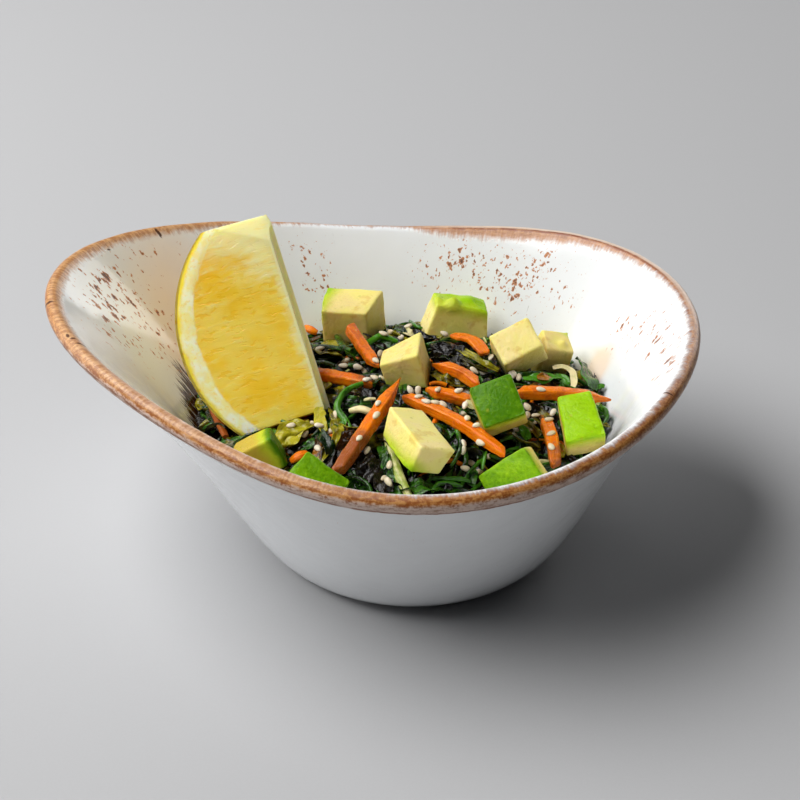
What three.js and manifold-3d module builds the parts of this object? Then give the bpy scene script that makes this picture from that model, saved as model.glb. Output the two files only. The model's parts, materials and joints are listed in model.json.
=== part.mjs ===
// A seaweed salad in an uneven glazed bowl, with diced avocado, carrot sticks, sesame and a lemon
// wedge. Millimetres, +Z up. The origin is the centre of the bowl's flat foot, X runs along the
// bowl towards its lower end, and the high end with the lemon is at -X.
import * as THREE from 'three';
import { RoundedBoxGeometry } from 'three/addons/geometries/RoundedBoxGeometry.js';
import { mergeVertices } from 'three/addons/utils/BufferGeometryUtils.js';
import Module from 'manifold-3d';

const wasm = await Module();
wasm.setup();

// ---------------------------------------------------------------- driving dimensions
const WALL = 4.4;            // bowl wall, also the round of its lip
const FOOT_RADIUS = 35.4;    // flat foot
const FOOT_ROLL = 15.6;      // how far the base runs out before it turns up
// Each of these is a mean followed by its cosine and sine waves round the bowl.
const RIM_RADIUS = { mean: 83.5, cos: [-8.4, 5.7, -2.0], sin: [1.6, -2.8, 4.3] };
const RIM_HEIGHT = { mean: 65.3, cos: [-2.9, 4.2, -1.7], sin: [-1.0, 0.7] };
const RIM_SLOPE = { mean: 0.87, cos: [0.05, -0.08], sin: [] };
const FLARE_LENGTH = { mean: 40.3, cos: [-8.6, 2.2], sin: [] };

const BOWL_STEPS = 64;       // facets round the bowl

const HEAP_EDGE = 33.5;      // salad level at the wall
const HEAP_RISE = 13;        // rise of the heap above that level
const HEAP_SPAN = [60, 57];  // half lengths of the dome's plan
const HEAP_BUMP = 0.9;       // height of the small bumps
const GAP = 0.35;            // clearance between touching pieces
const FACET_SAG = 0.25;      // how far a flat facet can stand off the round wall

const LEAF_THICKNESS = 1.1;
const DICE_ROUND = 0.9;      // edge rounding of the avocado dice
const CARROT_FLAT = 0.93;    // half width of a stick's flats, the rest is its rounded corners
const SEED = [3.0, 1.8, 1.1];
const SEED_SUNK = 0.3;       // depth of a seed in what it lies on
const SEED_SLOPE = 0.35;     // least upward part of a surface on which a seed stays

const COLOURS = {
  glaze: ['#e9e6e1', 0.2], salad: ['#1d3316', 0.3], avocado: ['#b9cf5a', 0.5],
  carrot: ['#e0701c', 0.4], lemon: ['#ecc94a', 0.35],
};

// ---------------------------------------------------------------- small tools
function wave(form, angle) {
  let value = form.mean;
  form.cos.forEach((size, i) => { value += size * Math.cos((i + 1) * angle); });
  form.sin.forEach((size, i) => { value += size * Math.sin((i + 1) * angle); });
  return value;
}

function randomDraws(seed) {
  let state = seed;
  return () => {
    state = (Math.imul(state, 1664525) + 1013904223) >>> 0;
    return state / 4294967296;
  };
}

function indexed(points, triangles) {
  const geometry = new THREE.BufferGeometry().setFromPoints(points);
  geometry.setIndex(triangles.flat());
  return geometry;
}

// Closed skin through rings of equally many points, with a fan over the first and the last ring.
function ringSolid(rings) {
  const count = rings[0].length;
  const points = rings.flat();
  const ends = [rings[0], rings[rings.length - 1]];
  ends.forEach((ring) => {
    const centre = new THREE.Vector3();
    ring.forEach((point) => centre.addScaledVector(point, 1 / count));
    points.push(centre);
  });
  const [first, last] = [points.length - 2, points.length - 1];
  const top = (rings.length - 1) * count;
  const triangles = [];
  for (let j = 0; j < count; j += 1) {
    const next = (j + 1) % count;
    triangles.push([first, next, j], [last, top + j, top + next]);
    for (let i = 0; i + 1 < rings.length; i += 1) {
      const [a, b] = [i * count + j, i * count + next];
      triangles.push([a, b, b + count], [a, b + count, a + count]);
    }
  }
  return indexed(points, triangles);
}

// Thin solid on a grid of points: both faces are the grid pushed half a thickness each way, split
// into triangles alike, with walls round the edge.
function sheetSolid(rows, columns, thickness, place) {
  const [top, bottom] = [[], []];
  for (let i = 0; i <= rows; i += 1) {
    for (let j = 0; j <= columns; j += 1) {
      const { point, normal } = place(i / rows, j / columns);
      top.push(point.clone().addScaledVector(normal, thickness / 2));
      bottom.push(point.clone().addScaledVector(normal, -thickness / 2));
    }
  }
  const at = (i, j) => i * (columns + 1) + j;
  const under = top.length;
  const triangles = [];
  for (let i = 0; i < rows; i += 1) {
    for (let j = 0; j < columns; j += 1) {
      const [a, b, c, d] = [at(i, j), at(i + 1, j), at(i + 1, j + 1), at(i, j + 1)];
      triangles.push([a, b, c], [a, c, d], [a + under, c + under, b + under]);
      triangles.push([a + under, d + under, c + under]);
    }
  }
  const edge = [];
  for (let j = 0; j < columns; j += 1) edge.push(at(0, j));
  for (let i = 0; i < rows; i += 1) edge.push(at(i, columns));
  for (let j = columns; j > 0; j -= 1) edge.push(at(rows, j));
  for (let i = rows; i > 0; i -= 1) edge.push(at(i, 0));
  edge.forEach((a, k) => {
    const b = edge[(k + 1) % edge.length];
    triangles.push([a, b, b + under], [a, b + under, a + under]);
  });
  return indexed([...top, ...bottom], triangles);
}

function signedVolume(geometry) {
  const [position, index] = [geometry.attributes.position, geometry.index];
  const corner = [0, 1, 2].map(() => new THREE.Vector3());
  let volume = 0;
  for (let i = 0; i < index.count; i += 3) {
    corner.forEach((point, k) => point.fromBufferAttribute(position, index.getX(i + k)));
    volume += corner[0].dot(corner[1].clone().cross(corner[2])) / 6;
  }
  return volume;
}

function solid(geometry) {
  const bare = geometry.clone();
  bare.deleteAttribute('normal');
  bare.deleteAttribute('uv');
  const merged = mergeVertices(bare, 1e-4);
  const triVerts = Uint32Array.from(merged.index.array);
  if (signedVolume(merged) < 0) triVerts.reverse();
  const vertProperties = Float32Array.from(merged.attributes.position.array);
  return new wasm.Manifold(new wasm.Mesh({ numProp: 3, vertProperties, triVerts }));
}

function geometryOf(manifold) {
  const mesh = manifold.getMesh();
  const geometry = new THREE.BufferGeometry();
  geometry.setAttribute('position', new THREE.BufferAttribute(mesh.vertProperties, 3));
  geometry.setIndex(new THREE.BufferAttribute(mesh.triVerts, 1));
  geometry.computeVertexNormals();
  return geometry;
}

function joined(manifolds) {
  return manifolds.reduce((whole, piece) => whole.add(piece));
}

// The piece with at least the clearance all round it.
function withClearance(manifold) {
  const reach = GAP * Math.sqrt(3);
  const shifts = [[1, 0, 0], [-1, 0, 0], [0, 1, 0], [0, -1, 0], [0, 0, 1], [0, 0, -1]];
  return wasm.Manifold.hull(shifts.map((shift) => manifold.translate(shift.map((part) => part * reach))));
}

function largestPiece(manifold) {
  return manifold.decompose().reduce((a, b) => (a.volume() > b.volume() ? a : b));
}

// ---------------------------------------------------------------- bowl
// Outer wall at an angle: a cubic curve from the foot's edge, level at first, up to the lip, where
// it leans out by the rim's slope. The inner wall is the same curve moved in by the wall.
function wallCurve(angle) {
  const slope = wave(RIM_SLOPE, angle);
  const flare = wave(FLARE_LENGTH, angle);
  const lip = new THREE.Vector2(wave(RIM_RADIUS, angle), wave(RIM_HEIGHT, angle)).subScalar(WALL / 2);
  const up = new THREE.Vector2(Math.cos(slope), Math.sin(slope));
  const end = new THREE.Vector2(up.y, -up.x).multiplyScalar(WALL / 2).add(lip);
  return new THREE.CubicBezierCurve(
    new THREE.Vector2(FOOT_RADIUS, 0),
    new THREE.Vector2(FOOT_RADIUS + FOOT_ROLL, 0),
    end.clone().addScaledVector(up, -flare),
    end,
  );
}

function wallPoint(angle, along, depth) {
  const curve = wallCurve(angle);
  const tangent = curve.getTangent(along);
  return curve.getPoint(along).add(new THREE.Vector2(-tangent.y, tangent.x).multiplyScalar(depth));
}

function lipPoint(angle, turn) {
  const slope = wave(RIM_SLOPE, angle);
  const lip = new THREE.Vector2(wave(RIM_RADIUS, angle), wave(RIM_HEIGHT, angle)).subScalar(WALL / 2);
  const bearing = slope - Math.PI / 2 + Math.PI * turn;
  return lip.add(new THREE.Vector2(Math.cos(bearing), Math.sin(bearing)).multiplyScalar(WALL / 2));
}

function roundTheAxis(steps, profileAt) {
  const ring = [];
  for (let j = 0; j < steps; j += 1) {
    const angle = (2 * Math.PI * j) / steps;
    const point = profileAt(angle);
    ring.push(new THREE.Vector3(point.x * Math.cos(angle), point.x * Math.sin(angle), point.y));
  }
  return ring;
}

const WALL_STATIONS = [0, 0.08, 0.16, 0.25, 0.36, 0.5, 0.66, 0.83, 1];

function makeBowl() {
  const lipTurns = [0.25, 0.5, 0.75];
  return solid(ringSolid([
    ...WALL_STATIONS.map((along) => roundTheAxis(BOWL_STEPS, (angle) => wallPoint(angle, along, 0))),
    ...lipTurns.map((turn) => roundTheAxis(BOWL_STEPS, (angle) => lipPoint(angle, turn))),
    ...[...WALL_STATIONS].reverse().map(
      (along) => roundTheAxis(BOWL_STEPS, (angle) => wallPoint(angle, along, WALL)),
    ),
  ]));
}

// ---------------------------------------------------------------- heap of salad
function heapHeight(x, y) {
  const out = Math.hypot(x / HEAP_SPAN[0], y / HEAP_SPAN[1]);
  const bump = Math.sin(x / 3.9 + 1) * Math.cos(y / 3.4) + 0.6 * Math.sin((x + y) / 2.7);
  return HEAP_EDGE + HEAP_RISE * Math.max(0, 1 - out * out) + HEAP_BUMP * bump * Math.max(0, 1 - out);
}

function stationAtHeight(angle, height, depth) {
  let [low, high] = [0, 1];
  for (let i = 0; i < 24; i += 1) {
    const middle = (low + high) / 2;
    if (wallPoint(angle, middle, depth).y < height) low = middle;
    else high = middle;
  }
  return (low + high) / 2;
}

function makeHeapCore() {
  const steps = BOWL_STEPS / 2;
  const depth = WALL + GAP + FACET_SAG;
  const edge = (angle) => stationAtHeight(angle, HEAP_EDGE, depth);
  const lower = [0, 0.35, 0.65, 0.85, 1].map(
    (share) => roundTheAxis(steps, (angle) => wallPoint(angle, share * edge(angle), depth)),
  );
  const upper = [0.93, 0.8, 0.64, 0.48, 0.32, 0.15].map((share) => roundTheAxis(steps, (angle) => {
    const radius = share * wallPoint(angle, edge(angle), depth).x;
    return new THREE.Vector2(radius, heapHeight(radius * Math.cos(angle), radius * Math.sin(angle)));
  }));
  return solid(ringSolid([...lower, ...upper]));
}

// Smooth path through plan points [x, y, lift above the heap].
function heapPath(points) {
  return new THREE.CatmullRomCurve3(
    points.map(([x, y, lift]) => new THREE.Vector3(x, y, heapHeight(x, y) + lift)),
  );
}

function pathFrame(path, along) {
  const ahead = path.getTangentAt(along);
  const side = new THREE.Vector3(0, 0, 1).cross(ahead).normalize();
  const above = ahead.clone().cross(side);
  return { point: path.getPointAt(along), side, above };
}

// Round or flattened strand that thins towards both ends.
function strandSolid(path, width, thickness, steps, sides = 5) {
  const rings = [];
  for (let i = 0; i <= steps; i += 1) {
    const { point, side, above } = pathFrame(path, i / steps);
    const full = 0.55 + 0.45 * Math.sin((Math.PI * i) / steps) ** 0.5;
    const ring = [];
    for (let j = 0; j < sides; j += 1) {
      const turn = (2 * Math.PI * (j + 0.25)) / sides;
      ring.push(point.clone()
        .addScaledVector(side, (full * width * Math.cos(turn)) / 2)
        .addScaledVector(above, (full * thickness * Math.sin(turn)) / 2));
    }
    rings.push(ring);
  }
  return solid(ringSolid(rings));
}

// Leaf or shred: a thin wavy band with its edges rippling up and down.
function leafSolid(path, width, ripple, roll) {
  return solid(sheetSolid(4, 2, LEAF_THICKNESS, (along, across) => {
    const { point, side, above } = pathFrame(path, along);
    const flat = side.clone().applyAxisAngle(path.getTangentAt(along), roll);
    const normal = above.clone().applyAxisAngle(path.getTangentAt(along), roll);
    const full = 0.45 + 0.55 * Math.sin(Math.PI * (0.08 + 0.84 * along)) ** 0.6;
    const wavy = ripple * Math.sin(7 * along + 3.1 * across) * Math.abs(2 * across - 1);
    const place = point.addScaledVector(flat, full * width * (across - 0.5)).addScaledVector(normal, wavy);
    return { point: place, normal };
  }));
}

// Strands and leaves that can be told apart on top of the heap: plan points with lifts, and sizes.
const STRANDS = [
  { name: 'loop', width: 2.2, thickness: 1.9,
    points: [[-7, 1, 0.5], [-13, 2.3, 2.2], [-17.5, -1, 2.6], [-19.6, -7.6, 2],
      [-20.3, -14, 1.2], [-18, -21, 0.2]] },
  { name: 'bright', width: 2.4, thickness: 1.8,
    points: [[-20, 24, 1], [-13.6, 28.5, 2.2], [-8.7, 34, 2.4]] },
  { name: 'behind', width: 2.0, thickness: 1.6,
    points: [[-9, 36, 1], [-3.4, 31, 1.8], [0, 41, 1.2], [4, 46, 0.6]] },
  { name: 'far', width: 2.2, thickness: 1.8,
    points: [[5.3, 27, 1.6], [11, 30, 1.6], [17, 34, 1.2], [21, 32, 0.3]] },
  { name: 'hook', width: 1.5, thickness: 1.3,
    points: [[4.8, -12, 0.6], [10, -18, 1], [12.6, -24.3, 1.2], [11.2, -30.2, 1], [8, -35, 0.4]] },
  { name: 'stem', width: 3.8, thickness: 3.4,
    points: [[-4.6, -27, 0.8], [-2.8, -36, 1.4], [0, -46, 1.6], [1, -50, 1]] },
  { name: 'pale', width: 3.0, thickness: 2.2,
    points: [[-18, -11, 1], [-13.8, -10, 1.4], [-9.5, -12, 0.8]] },
  { name: 'cut', width: 3.0, thickness: 2.4,
    points: [[-31, -31, 0.6], [-27.5, -27.5, 1.2]] },
];
const LEAVES = [
  { name: 'dark_leaf', width: 5.5, ripple: 0.8, roll: 0.5,
    points: [[-31, 33, 0.6], [-26, 41, 1.8], [-22, 37, 2], [-19, 29, 1]] },
  { name: 'round_leaf', width: 8, ripple: 0.5, roll: -0.9,
    points: [[44.5, 30, 2.4], [49, 26, 4], [51, 17, 4.4], [51, 9, 2.2]] },
  { name: 'ribbon', width: 5, ripple: 0.5, roll: -0.7,
    points: [[30, 7, 1.4], [37, 12, 1.8], [43, 14, 2], [44.5, 8, 1]] },
  { name: 'pale_strip', width: 2.4, ripple: 0.1, roll: 0,
    points: [[41, 18, 2.4], [45.5, 18, 3.6], [47, 12, 3], [46, 7, 1]] },
  { name: 'front_wakame', width: 8, ripple: 1.0, roll: -0.3,
    points: [[-1, -44, 1], [7, -42, 1.6], [16, -43, 1], [22, -40, 0.4]] },
  { name: 'olive_a', width: 6, ripple: 0.8, roll: -0.4,
    points: [[-38, -19, 0.6], [-33, -16, 1.6], [-28.5, -18, 0.8]] },
  { name: 'olive_b', width: 6, ripple: 0.8, roll: 0.5,
    points: [[-36, -27, 0.8], [-32, -24.5, 1.8], [-29, -19, 1]] },
  { name: 'olive_c', width: 5, ripple: 0.5, roll: -0.5,
    points: [[-27, -9, 1], [-25, -17, 1.8], [-26.5, -23, 0.8]] },
  { name: 'olive_d', width: 6, ripple: 0.7, roll: 0.4,
    points: [[-24, -16, 0.8], [-20.8, -23, 1.6], [-22, -32, 0.8]] },
  { name: 'brown_a', width: 5.5, ripple: 0.8, roll: -0.4,
    points: [[19, -19, 0.8], [26, -17, 1.6], [31.5, -16.5, 1.4], [35, -23, 0.6]] },
  { name: 'brown_b', width: 3.6, ripple: 0.4, roll: 0.3,
    points: [[13.5, 26, 1.2], [19, 19, 1.8], [24, 12.5, 1]] },
  { name: 'brown_c', width: 3.2, ripple: 0.3, roll: 0.3,
    points: [[3, -10.5, 1.8], [8, -17.3, 2.2], [11.5, -21.5, 0.6]] },
  { name: 'brown_d', width: 5, ripple: 0.6, roll: 0,
    points: [[38, -12, 1], [40, -20.5, 2.2], [44, -24, 0.8]] },
  { name: 'black_a', width: 7, ripple: 1.2, roll: 0.4,
    points: [[7, 22, 0.6], [12, 17, 1.8], [18, 12, 1.6], [25, 9, 0.6]] },
  { name: 'black_b', width: 7, ripple: 1.2, roll: -0.4,
    points: [[-12, -28, 0.8], [-9, -36, 1.4], [-5, -43, 0.6]] },
  { name: 'black_c', width: 7, ripple: 1.1, roll: 0.3,
    points: [[24, -6, 0.6], [32, -5, 1.6], [40, -3, 0.6]] },
  { name: 'black_d', width: 6, ripple: 1.0, roll: -0.3,
    points: [[7, -22, 0.6], [10, -29, 1.4], [7, -35, 0.6]] },
];

// Short curls spread over the whole heap by seeded draws, so every side has its strands.
const CURLS = { count: 14, width: [1.6, 2.6], length: [14, 26], seed: 7, reach: 0.86 };

function makeCurls() {
  const draw = randomDraws(CURLS.seed);
  const between = ([low, high]) => low + (high - low) * draw();
  return Array.from({ length: CURLS.count }, (unused, i) => {
    const turn = i * Math.PI * (3 - Math.sqrt(5));
    const out = CURLS.reach * Math.sqrt((i + 0.5) / CURLS.count);
    const centre = [out * (HEAP_SPAN[0] - 7) * Math.cos(turn), out * (HEAP_SPAN[1] - 7) * Math.sin(turn)];
    const [length, width, bearing, bend] = [
      between(CURLS.length), between(CURLS.width), between([0, Math.PI]), between([-1.6, 1.6])];
    const points = [-0.5, -0.17, 0.17, 0.5].map((part) => {
      const [heading, away] = [bearing + bend * part, length * part];
      const lift = 0.5 + 1.1 * Math.cos(Math.PI * part);
      return [centre[0] + away * Math.cos(heading), centre[1] + away * Math.sin(heading), lift];
    });
    return strandSolid(heapPath(points), width, width * 0.75, 4);
  });
}

// ---------------------------------------------------------------- toppings
function place(geometry, { at, turn = 0, tilt = 0, roll = 0 }) {
  const [yaw, pitch, bank] = [turn, tilt, roll].map(THREE.MathUtils.degToRad);
  const turned = new THREE.Matrix4().makeRotationFromEuler(new THREE.Euler(bank, pitch, yaw, 'ZYX'));
  return geometry.applyMatrix4(turned.setPosition(...at));
}

// Avocado dice. size is along the piece's own X, Y and Z before it is turned about Z, tilted about
// Y and rolled about X. taper narrows the end that it names, as a share of the full width.
const AVOCADO = {
  avocado_back_left: { at: [-18, 44, 44], size: [17.5, 14, 13], turn: -14, tilt: -4, roll: -2,
    taper: { along: '-y', share: 0.8 } },
  avocado_back_mid: { at: [13.6, 45, 43], size: [19.5, 11, 11.5], turn: 6, tilt: 12, roll: -2,
    taper: { along: 'z', share: 0.8 } },
  avocado_back_right: { at: [30.5, 20.2, 47.1], size: [13.2, 11, 10], turn: 15, tilt: -23, roll: 31,
    taper: { along: 'z', share: 0.95 } },
  avocado_far_right: { at: [40.7, 27.6, 40.8], size: [10, 10, 11], turn: 15, tilt: 17, roll: 14,
    taper: { along: 'z', share: 0.85 } },
  avocado_centre: { at: [-2.1, 7.6, 49], size: [12, 13.5, 11.5], turn: -5, tilt: -16, roll: 1,
    taper: { along: '-x', share: 0.6 } },
  avocado_green: { at: [22.9, -19.7, 52], size: [12.4, 12.6, 10], turn: 11, tilt: -17, roll: 41,
    taper: { along: 'z', share: 0.95 } },
  avocado_right: { at: [44.9, -21.5, 47.6], size: [10.8, 14.5, 9], turn: 6, tilt: -10, roll: 28,
    taper: { along: 'y', share: 0.85 } },
  avocado_front_right: { at: [26.5, -39.8, 41.9], size: [15.5, 10.5, 8], turn: 2, tilt: -37, roll: 53,
    taper: { along: 'y', share: 0.95 } },
  avocado_front: { at: [0.9, -34.9, 50], size: [10.8, 20.5, 8.6], turn: 26, tilt: 21, roll: 4,
    taper: { along: '-z', share: 0.85 } },
  avocado_front_left: { at: [-25.3, -45.6, 43.4], size: [15, 11, 8], turn: -22, tilt: 29, roll: 32,
    taper: { along: 'y', share: 0.9 } },
  avocado_left: { at: [-40.8, -28.4, 42], size: [12.5, 8.6, 10], turn: 4, tilt: -28, roll: -2,
    taper: { along: 'y', share: 0.85 } },
};

function dice({ size, taper, ...pose }) {
  const geometry = new RoundedBoxGeometry(...size, 1, DICE_ROUND);
  const direction = Math.sign(`${taper.along}1`.replace(/[xyz]/, '')) || 1;
  const axis = 'xyz'.indexOf(taper.along.slice(-1));
  const position = geometry.attributes.position;
  for (let i = 0; i < position.count; i += 1) {
    const point = [position.getX(i), position.getY(i), position.getZ(i)];
    const share = 0.5 + (direction * point[axis]) / size[axis];
    const scale = 1 + (taper.share - 1) * share;
    position.setXYZ(i, ...point.map((value, k) => (k === axis ? value : value * scale)));
  }
  return solid(place(geometry, pose));
}

// Carrot sticks: plan points with lifts, or full points where one end stands clear of the heap.
const CARROTS = {
  carrot_front: { from: [-3.4, -9, 53.5], bend: [0.5, 0.6, 0.4], to: [-19.7, -40.2, 43.9], side: 3.7 },
  carrot_long: { from: [-1.7, -9.6, 48.5], bend: [0.6, 0.6, 0.7], to: [24.2, -33.7, 45.6], side: 3.3 },
  carrot_upright: { from: [-18.2, 29.1, 49], bend: [0.4, -0.2, -0.8], to: [-9.9, 9.8, 47], side: 3.3 },
  carrot_left: { from: [-27.6, 7.7, 46], bend: [-0.4, -0.5, 0.4], to: [-11.1, -1.8, 48], side: 3.3 },
  carrot_mid: { from: [7, 7.7, 48.6], bend: [0.3, 0.4, 0.6], to: [18.4, -1.2, 47.4], side: 3.3 },
  carrot_inner: { from: [4.3, -4.5, 47.4], bend: [0.3, -0.4, 0.4], to: [16.4, -9.2, 46.6], side: 3.3 },
  carrot_right: { from: [29.2, -4.2, 46.8], bend: [0.2, -0.5, 0.8], to: [54.1, 0.2, 42], side: 3.4 },
  carrot_shaving: { from: [11.8, 31.6, 45], bend: [1.2, 0.4, 1.2], to: [21.2, 19.2, 45.6],
    side: 4, high: 1.6 },
  carrot_edge: { from: [36.3, -15.3, 44], bend: [0.3, 0.2, 0.6], to: [37.7, -34.6, 42.6], side: 3.6 },
};

// Rounded square section carried from one end to the other over a slight bow.
function carrot({ from, bend, to, side, high = side }) {
  const ends = [new THREE.Vector3(...from), new THREE.Vector3(...to)];
  const middle = ends[0].clone().lerp(ends[1], 0.5).add(new THREE.Vector3(...bend));
  const path = new THREE.CatmullRomCurve3([ends[0], middle, ends[1]]);
  const steps = 5;
  const rings = [];
  for (let i = 0; i <= steps; i += 1) {
    const { point, side: across, above } = pathFrame(path, i / steps);
    const ring = [];
    for (let j = 0; j < 8; j += 1) {
      const turn = (Math.PI * (j + 0.5)) / 4;
      const corner = new THREE.Vector2(Math.cos(turn), Math.sin(turn)).multiplyScalar(1.08);
      const clamp = (value) => THREE.MathUtils.clamp(value, -CARROT_FLAT, CARROT_FLAT);
      ring.push(point.clone()
        .addScaledVector(across, (clamp(corner.x) * side) / 2)
        .addScaledVector(above, (clamp(corner.y) * high) / 2));
    }
    rings.push(ring);
  }
  return solid(ringSolid(rings));
}

// Lemon wedge: an angle of a round lemon, cut off at both ends, with its core edge trimmed. Its own
// Z runs along the core, X points from the core to the rind in the cut face that is seen, and Y goes
// back from that face into the wedge. Each cut is a plane: a level on the core, a rise outwards and
// a rise towards the back.
const LEMON = {
  radius: 36.6, halfLength: 38.6, wedge: 58, core: 3.2, below: -25.5, above: 34,
  cuts: [{ level: 31.5, outwards: 0, back: 0 }, { level: 23.8, outwards: 0.56, back: 2.1 }],
  foot: [-21, -9.2, 45.6], ahead: [-0.305, 0.55, 0.775], out: [-0.962, -0.12, -0.24],
};

function lemonPoint(share, turn, along) {
  const angle = THREE.MathUtils.degToRad(LEMON.wedge) * turn;
  const level = LEMON.below + (LEMON.above - LEMON.below) * along;
  const rind = LEMON.radius * Math.sqrt(1 - (level / LEMON.halfLength) ** 2);
  const radius = LEMON.core + (rind - LEMON.core) * share;
  return [radius * Math.cos(angle), radius * Math.sin(angle), level];
}

function lemonWedge() {
  const geometry = new THREE.BoxGeometry(1, 1, 1, 2, 5, 12).translate(0.5, 0.5, 0.5);
  const position = geometry.attributes.position;
  for (let i = 0; i < position.count; i += 1) {
    position.setXYZ(i, ...lemonPoint(position.getX(i), position.getY(i), position.getZ(i)));
  }
  const trimmed = LEMON.cuts.reduce((piece, { level, outwards, back }) => {
    const inwards = new THREE.Vector3(outwards, back, -1);
    return piece.trimByPlane(inwards.toArray(), (outwards * LEMON.core - level) / inwards.length());
  }, solid(geometry));
  const ahead = new THREE.Vector3(...LEMON.ahead).normalize();
  const out = new THREE.Vector3(...LEMON.out).projectOnPlane(ahead).normalize();
  const foot = new THREE.Vector3(...LEMON.foot).addScaledVector(ahead, -LEMON.below);
  const stood = new THREE.Matrix4().makeBasis(out, out.clone().cross(ahead), ahead).setPosition(foot);
  return trimmed.transform(stood.elements);
}

// ---------------------------------------------------------------- sesame
// Seeds lie in clusters, each a plan place with a spread and a count.
const SESAME = [
  [-18, 16, 2.5, 3], [-12, 8, 3, 3], [-9, 18, 2, 1], [-5, 40, 4, 2], [5, 41, 4, 2], [-22, -14, 3.5, 2],
  [-25, -26, 2, 1], [-7, -38, 2.5, 2], [1, -3, 2.5, 2], [6, -8, 3, 3], [14, -3, 3, 3], [15, -13, 3, 4],
  [19, 10, 3, 2], [25, 20, 3, 2], [30, 12, 2.5, 3], [32, -8, 2.5, 3], [38, -16, 3.5, 3], [13, -27, 2.5, 2],
  [15, -36, 3, 3],
];

function seedSolid(point, normal, bearing) {
  const [length, width, thickness] = SEED;
  const geometry = new THREE.SphereGeometry(0.5, 5, 4).rotateZ(Math.PI / 2);
  const position = geometry.attributes.position;
  for (let i = 0; i < position.count; i += 1) {
    const along = position.getX(i);
    const narrow = 1 - 0.45 * (along + 0.5) ** 2;
    position.setXYZ(i, along * length, position.getY(i) * width * narrow, position.getZ(i) * thickness);
  }
  const up = normal.clone().lerp(new THREE.Vector3(0, 0, 1), 0.35).normalize();
  const side = up.clone().cross(new THREE.Vector3(Math.cos(bearing), Math.sin(bearing), 0)).normalize();
  const basis = new THREE.Matrix4().makeBasis(side.clone().cross(up), side, up);
  const centre = point.clone().addScaledVector(up, thickness / 2 - SEED_SUNK);
  return solid(geometry.applyMatrix4(basis.setPosition(centre)));
}

// Drops each seed on the highest surface under its place and joins it there, unless it would touch
// a piece that is fitted on its own.
function scatterSesame(solids, hosts, barrier) {
  const draw = randomDraws(11);
  const meshes = hosts.map((name) => {
    const mesh = new THREE.Mesh(geometryOf(solids[name]), new THREE.MeshBasicMaterial());
    mesh.name = name;
    return mesh;
  });
  const caught = Object.fromEntries(hosts.map((name) => [name, []]));
  SESAME.forEach(([x, y, spread, count]) => {
    for (let i = 0; i < count; i += 1) {
      const [turn, out] = [2 * Math.PI * draw(), spread * Math.sqrt(draw())];
      const above = new THREE.Vector3(x + out * Math.cos(turn), y + out * Math.sin(turn), 120);
      const bearing = Math.PI * draw();
      const hit = new THREE.Raycaster(above, new THREE.Vector3(0, 0, -1)).intersectObjects(meshes)[0];
      if (hit && hit.face.normal.z > SEED_SLOPE) {
        const seed = seedSolid(hit.point, hit.face.normal, bearing);
        const others = hosts.filter((name) => name !== hit.object.name).map((name) => solids[name]);
        const touches = [barrier, ...others].some((other) => other.minGap(seed, GAP) < GAP * 0.8);
        if (!touches) caught[hit.object.name].push(seed);
      }
    }
  });
  hosts.forEach((name) => { solids[name] = joined([solids[name], ...caught[name]]); });
}

// ---------------------------------------------------------------- the whole
const solids = { bowl: makeBowl(), lemon_wedge: lemonWedge() };
Object.entries(AVOCADO).forEach(([name, piece]) => { solids[name] = dice(piece); });
Object.entries(CARROTS).forEach(([name, piece]) => { solids[name] = carrot(piece); });
const toppings = Object.values(solids).slice(1);

const heap = joined([
  makeHeapCore(),
  ...makeCurls(),
  ...STRANDS.map(({ points, width, thickness }) => strandSolid(heapPath(points), width, thickness, 6)),
  ...LEAVES.map(({ points, width, ripple, roll }) => leafSolid(heapPath(points), width, ripple, roll)),
]);
solids.salad = largestPiece(heap.subtract(joined(toppings.map(withClearance))));

const dices = Object.keys(AVOCADO).map((name) => solids[name]);
scatterSesame(solids, ['salad', ...Object.keys(CARROTS)], joined([solids.lemon_wedge, ...dices]));

const group = new THREE.Group();
const FINISH = { bowl: 'glaze', salad: 'salad', avocado: 'avocado', carrot: 'carrot', lemon: 'lemon' };
Object.entries(solids).forEach(([name, manifold]) => {
  const [colour, roughness] = COLOURS[FINISH[name.split('_')[0]]];
  const mesh = new THREE.Mesh(
    geometryOf(manifold),
    new THREE.MeshStandardMaterial({ color: colour, roughness, metalness: 0 }),
  );
  mesh.name = name;
  group.add(mesh);
});

export default group;
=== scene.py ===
"""Looks of a seaweed salad in an uneven glazed bowl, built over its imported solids.

Settings are in metres. Shapes are worked out in millimetres in the solids' own frame: +Z up, the
origin at the centre of the bowl's foot, +X along the bowl towards its low end.
"""
import json
import math

import bpy
import numpy as np
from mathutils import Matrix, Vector
from mathutils.bvhtree import BVHTree

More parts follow.
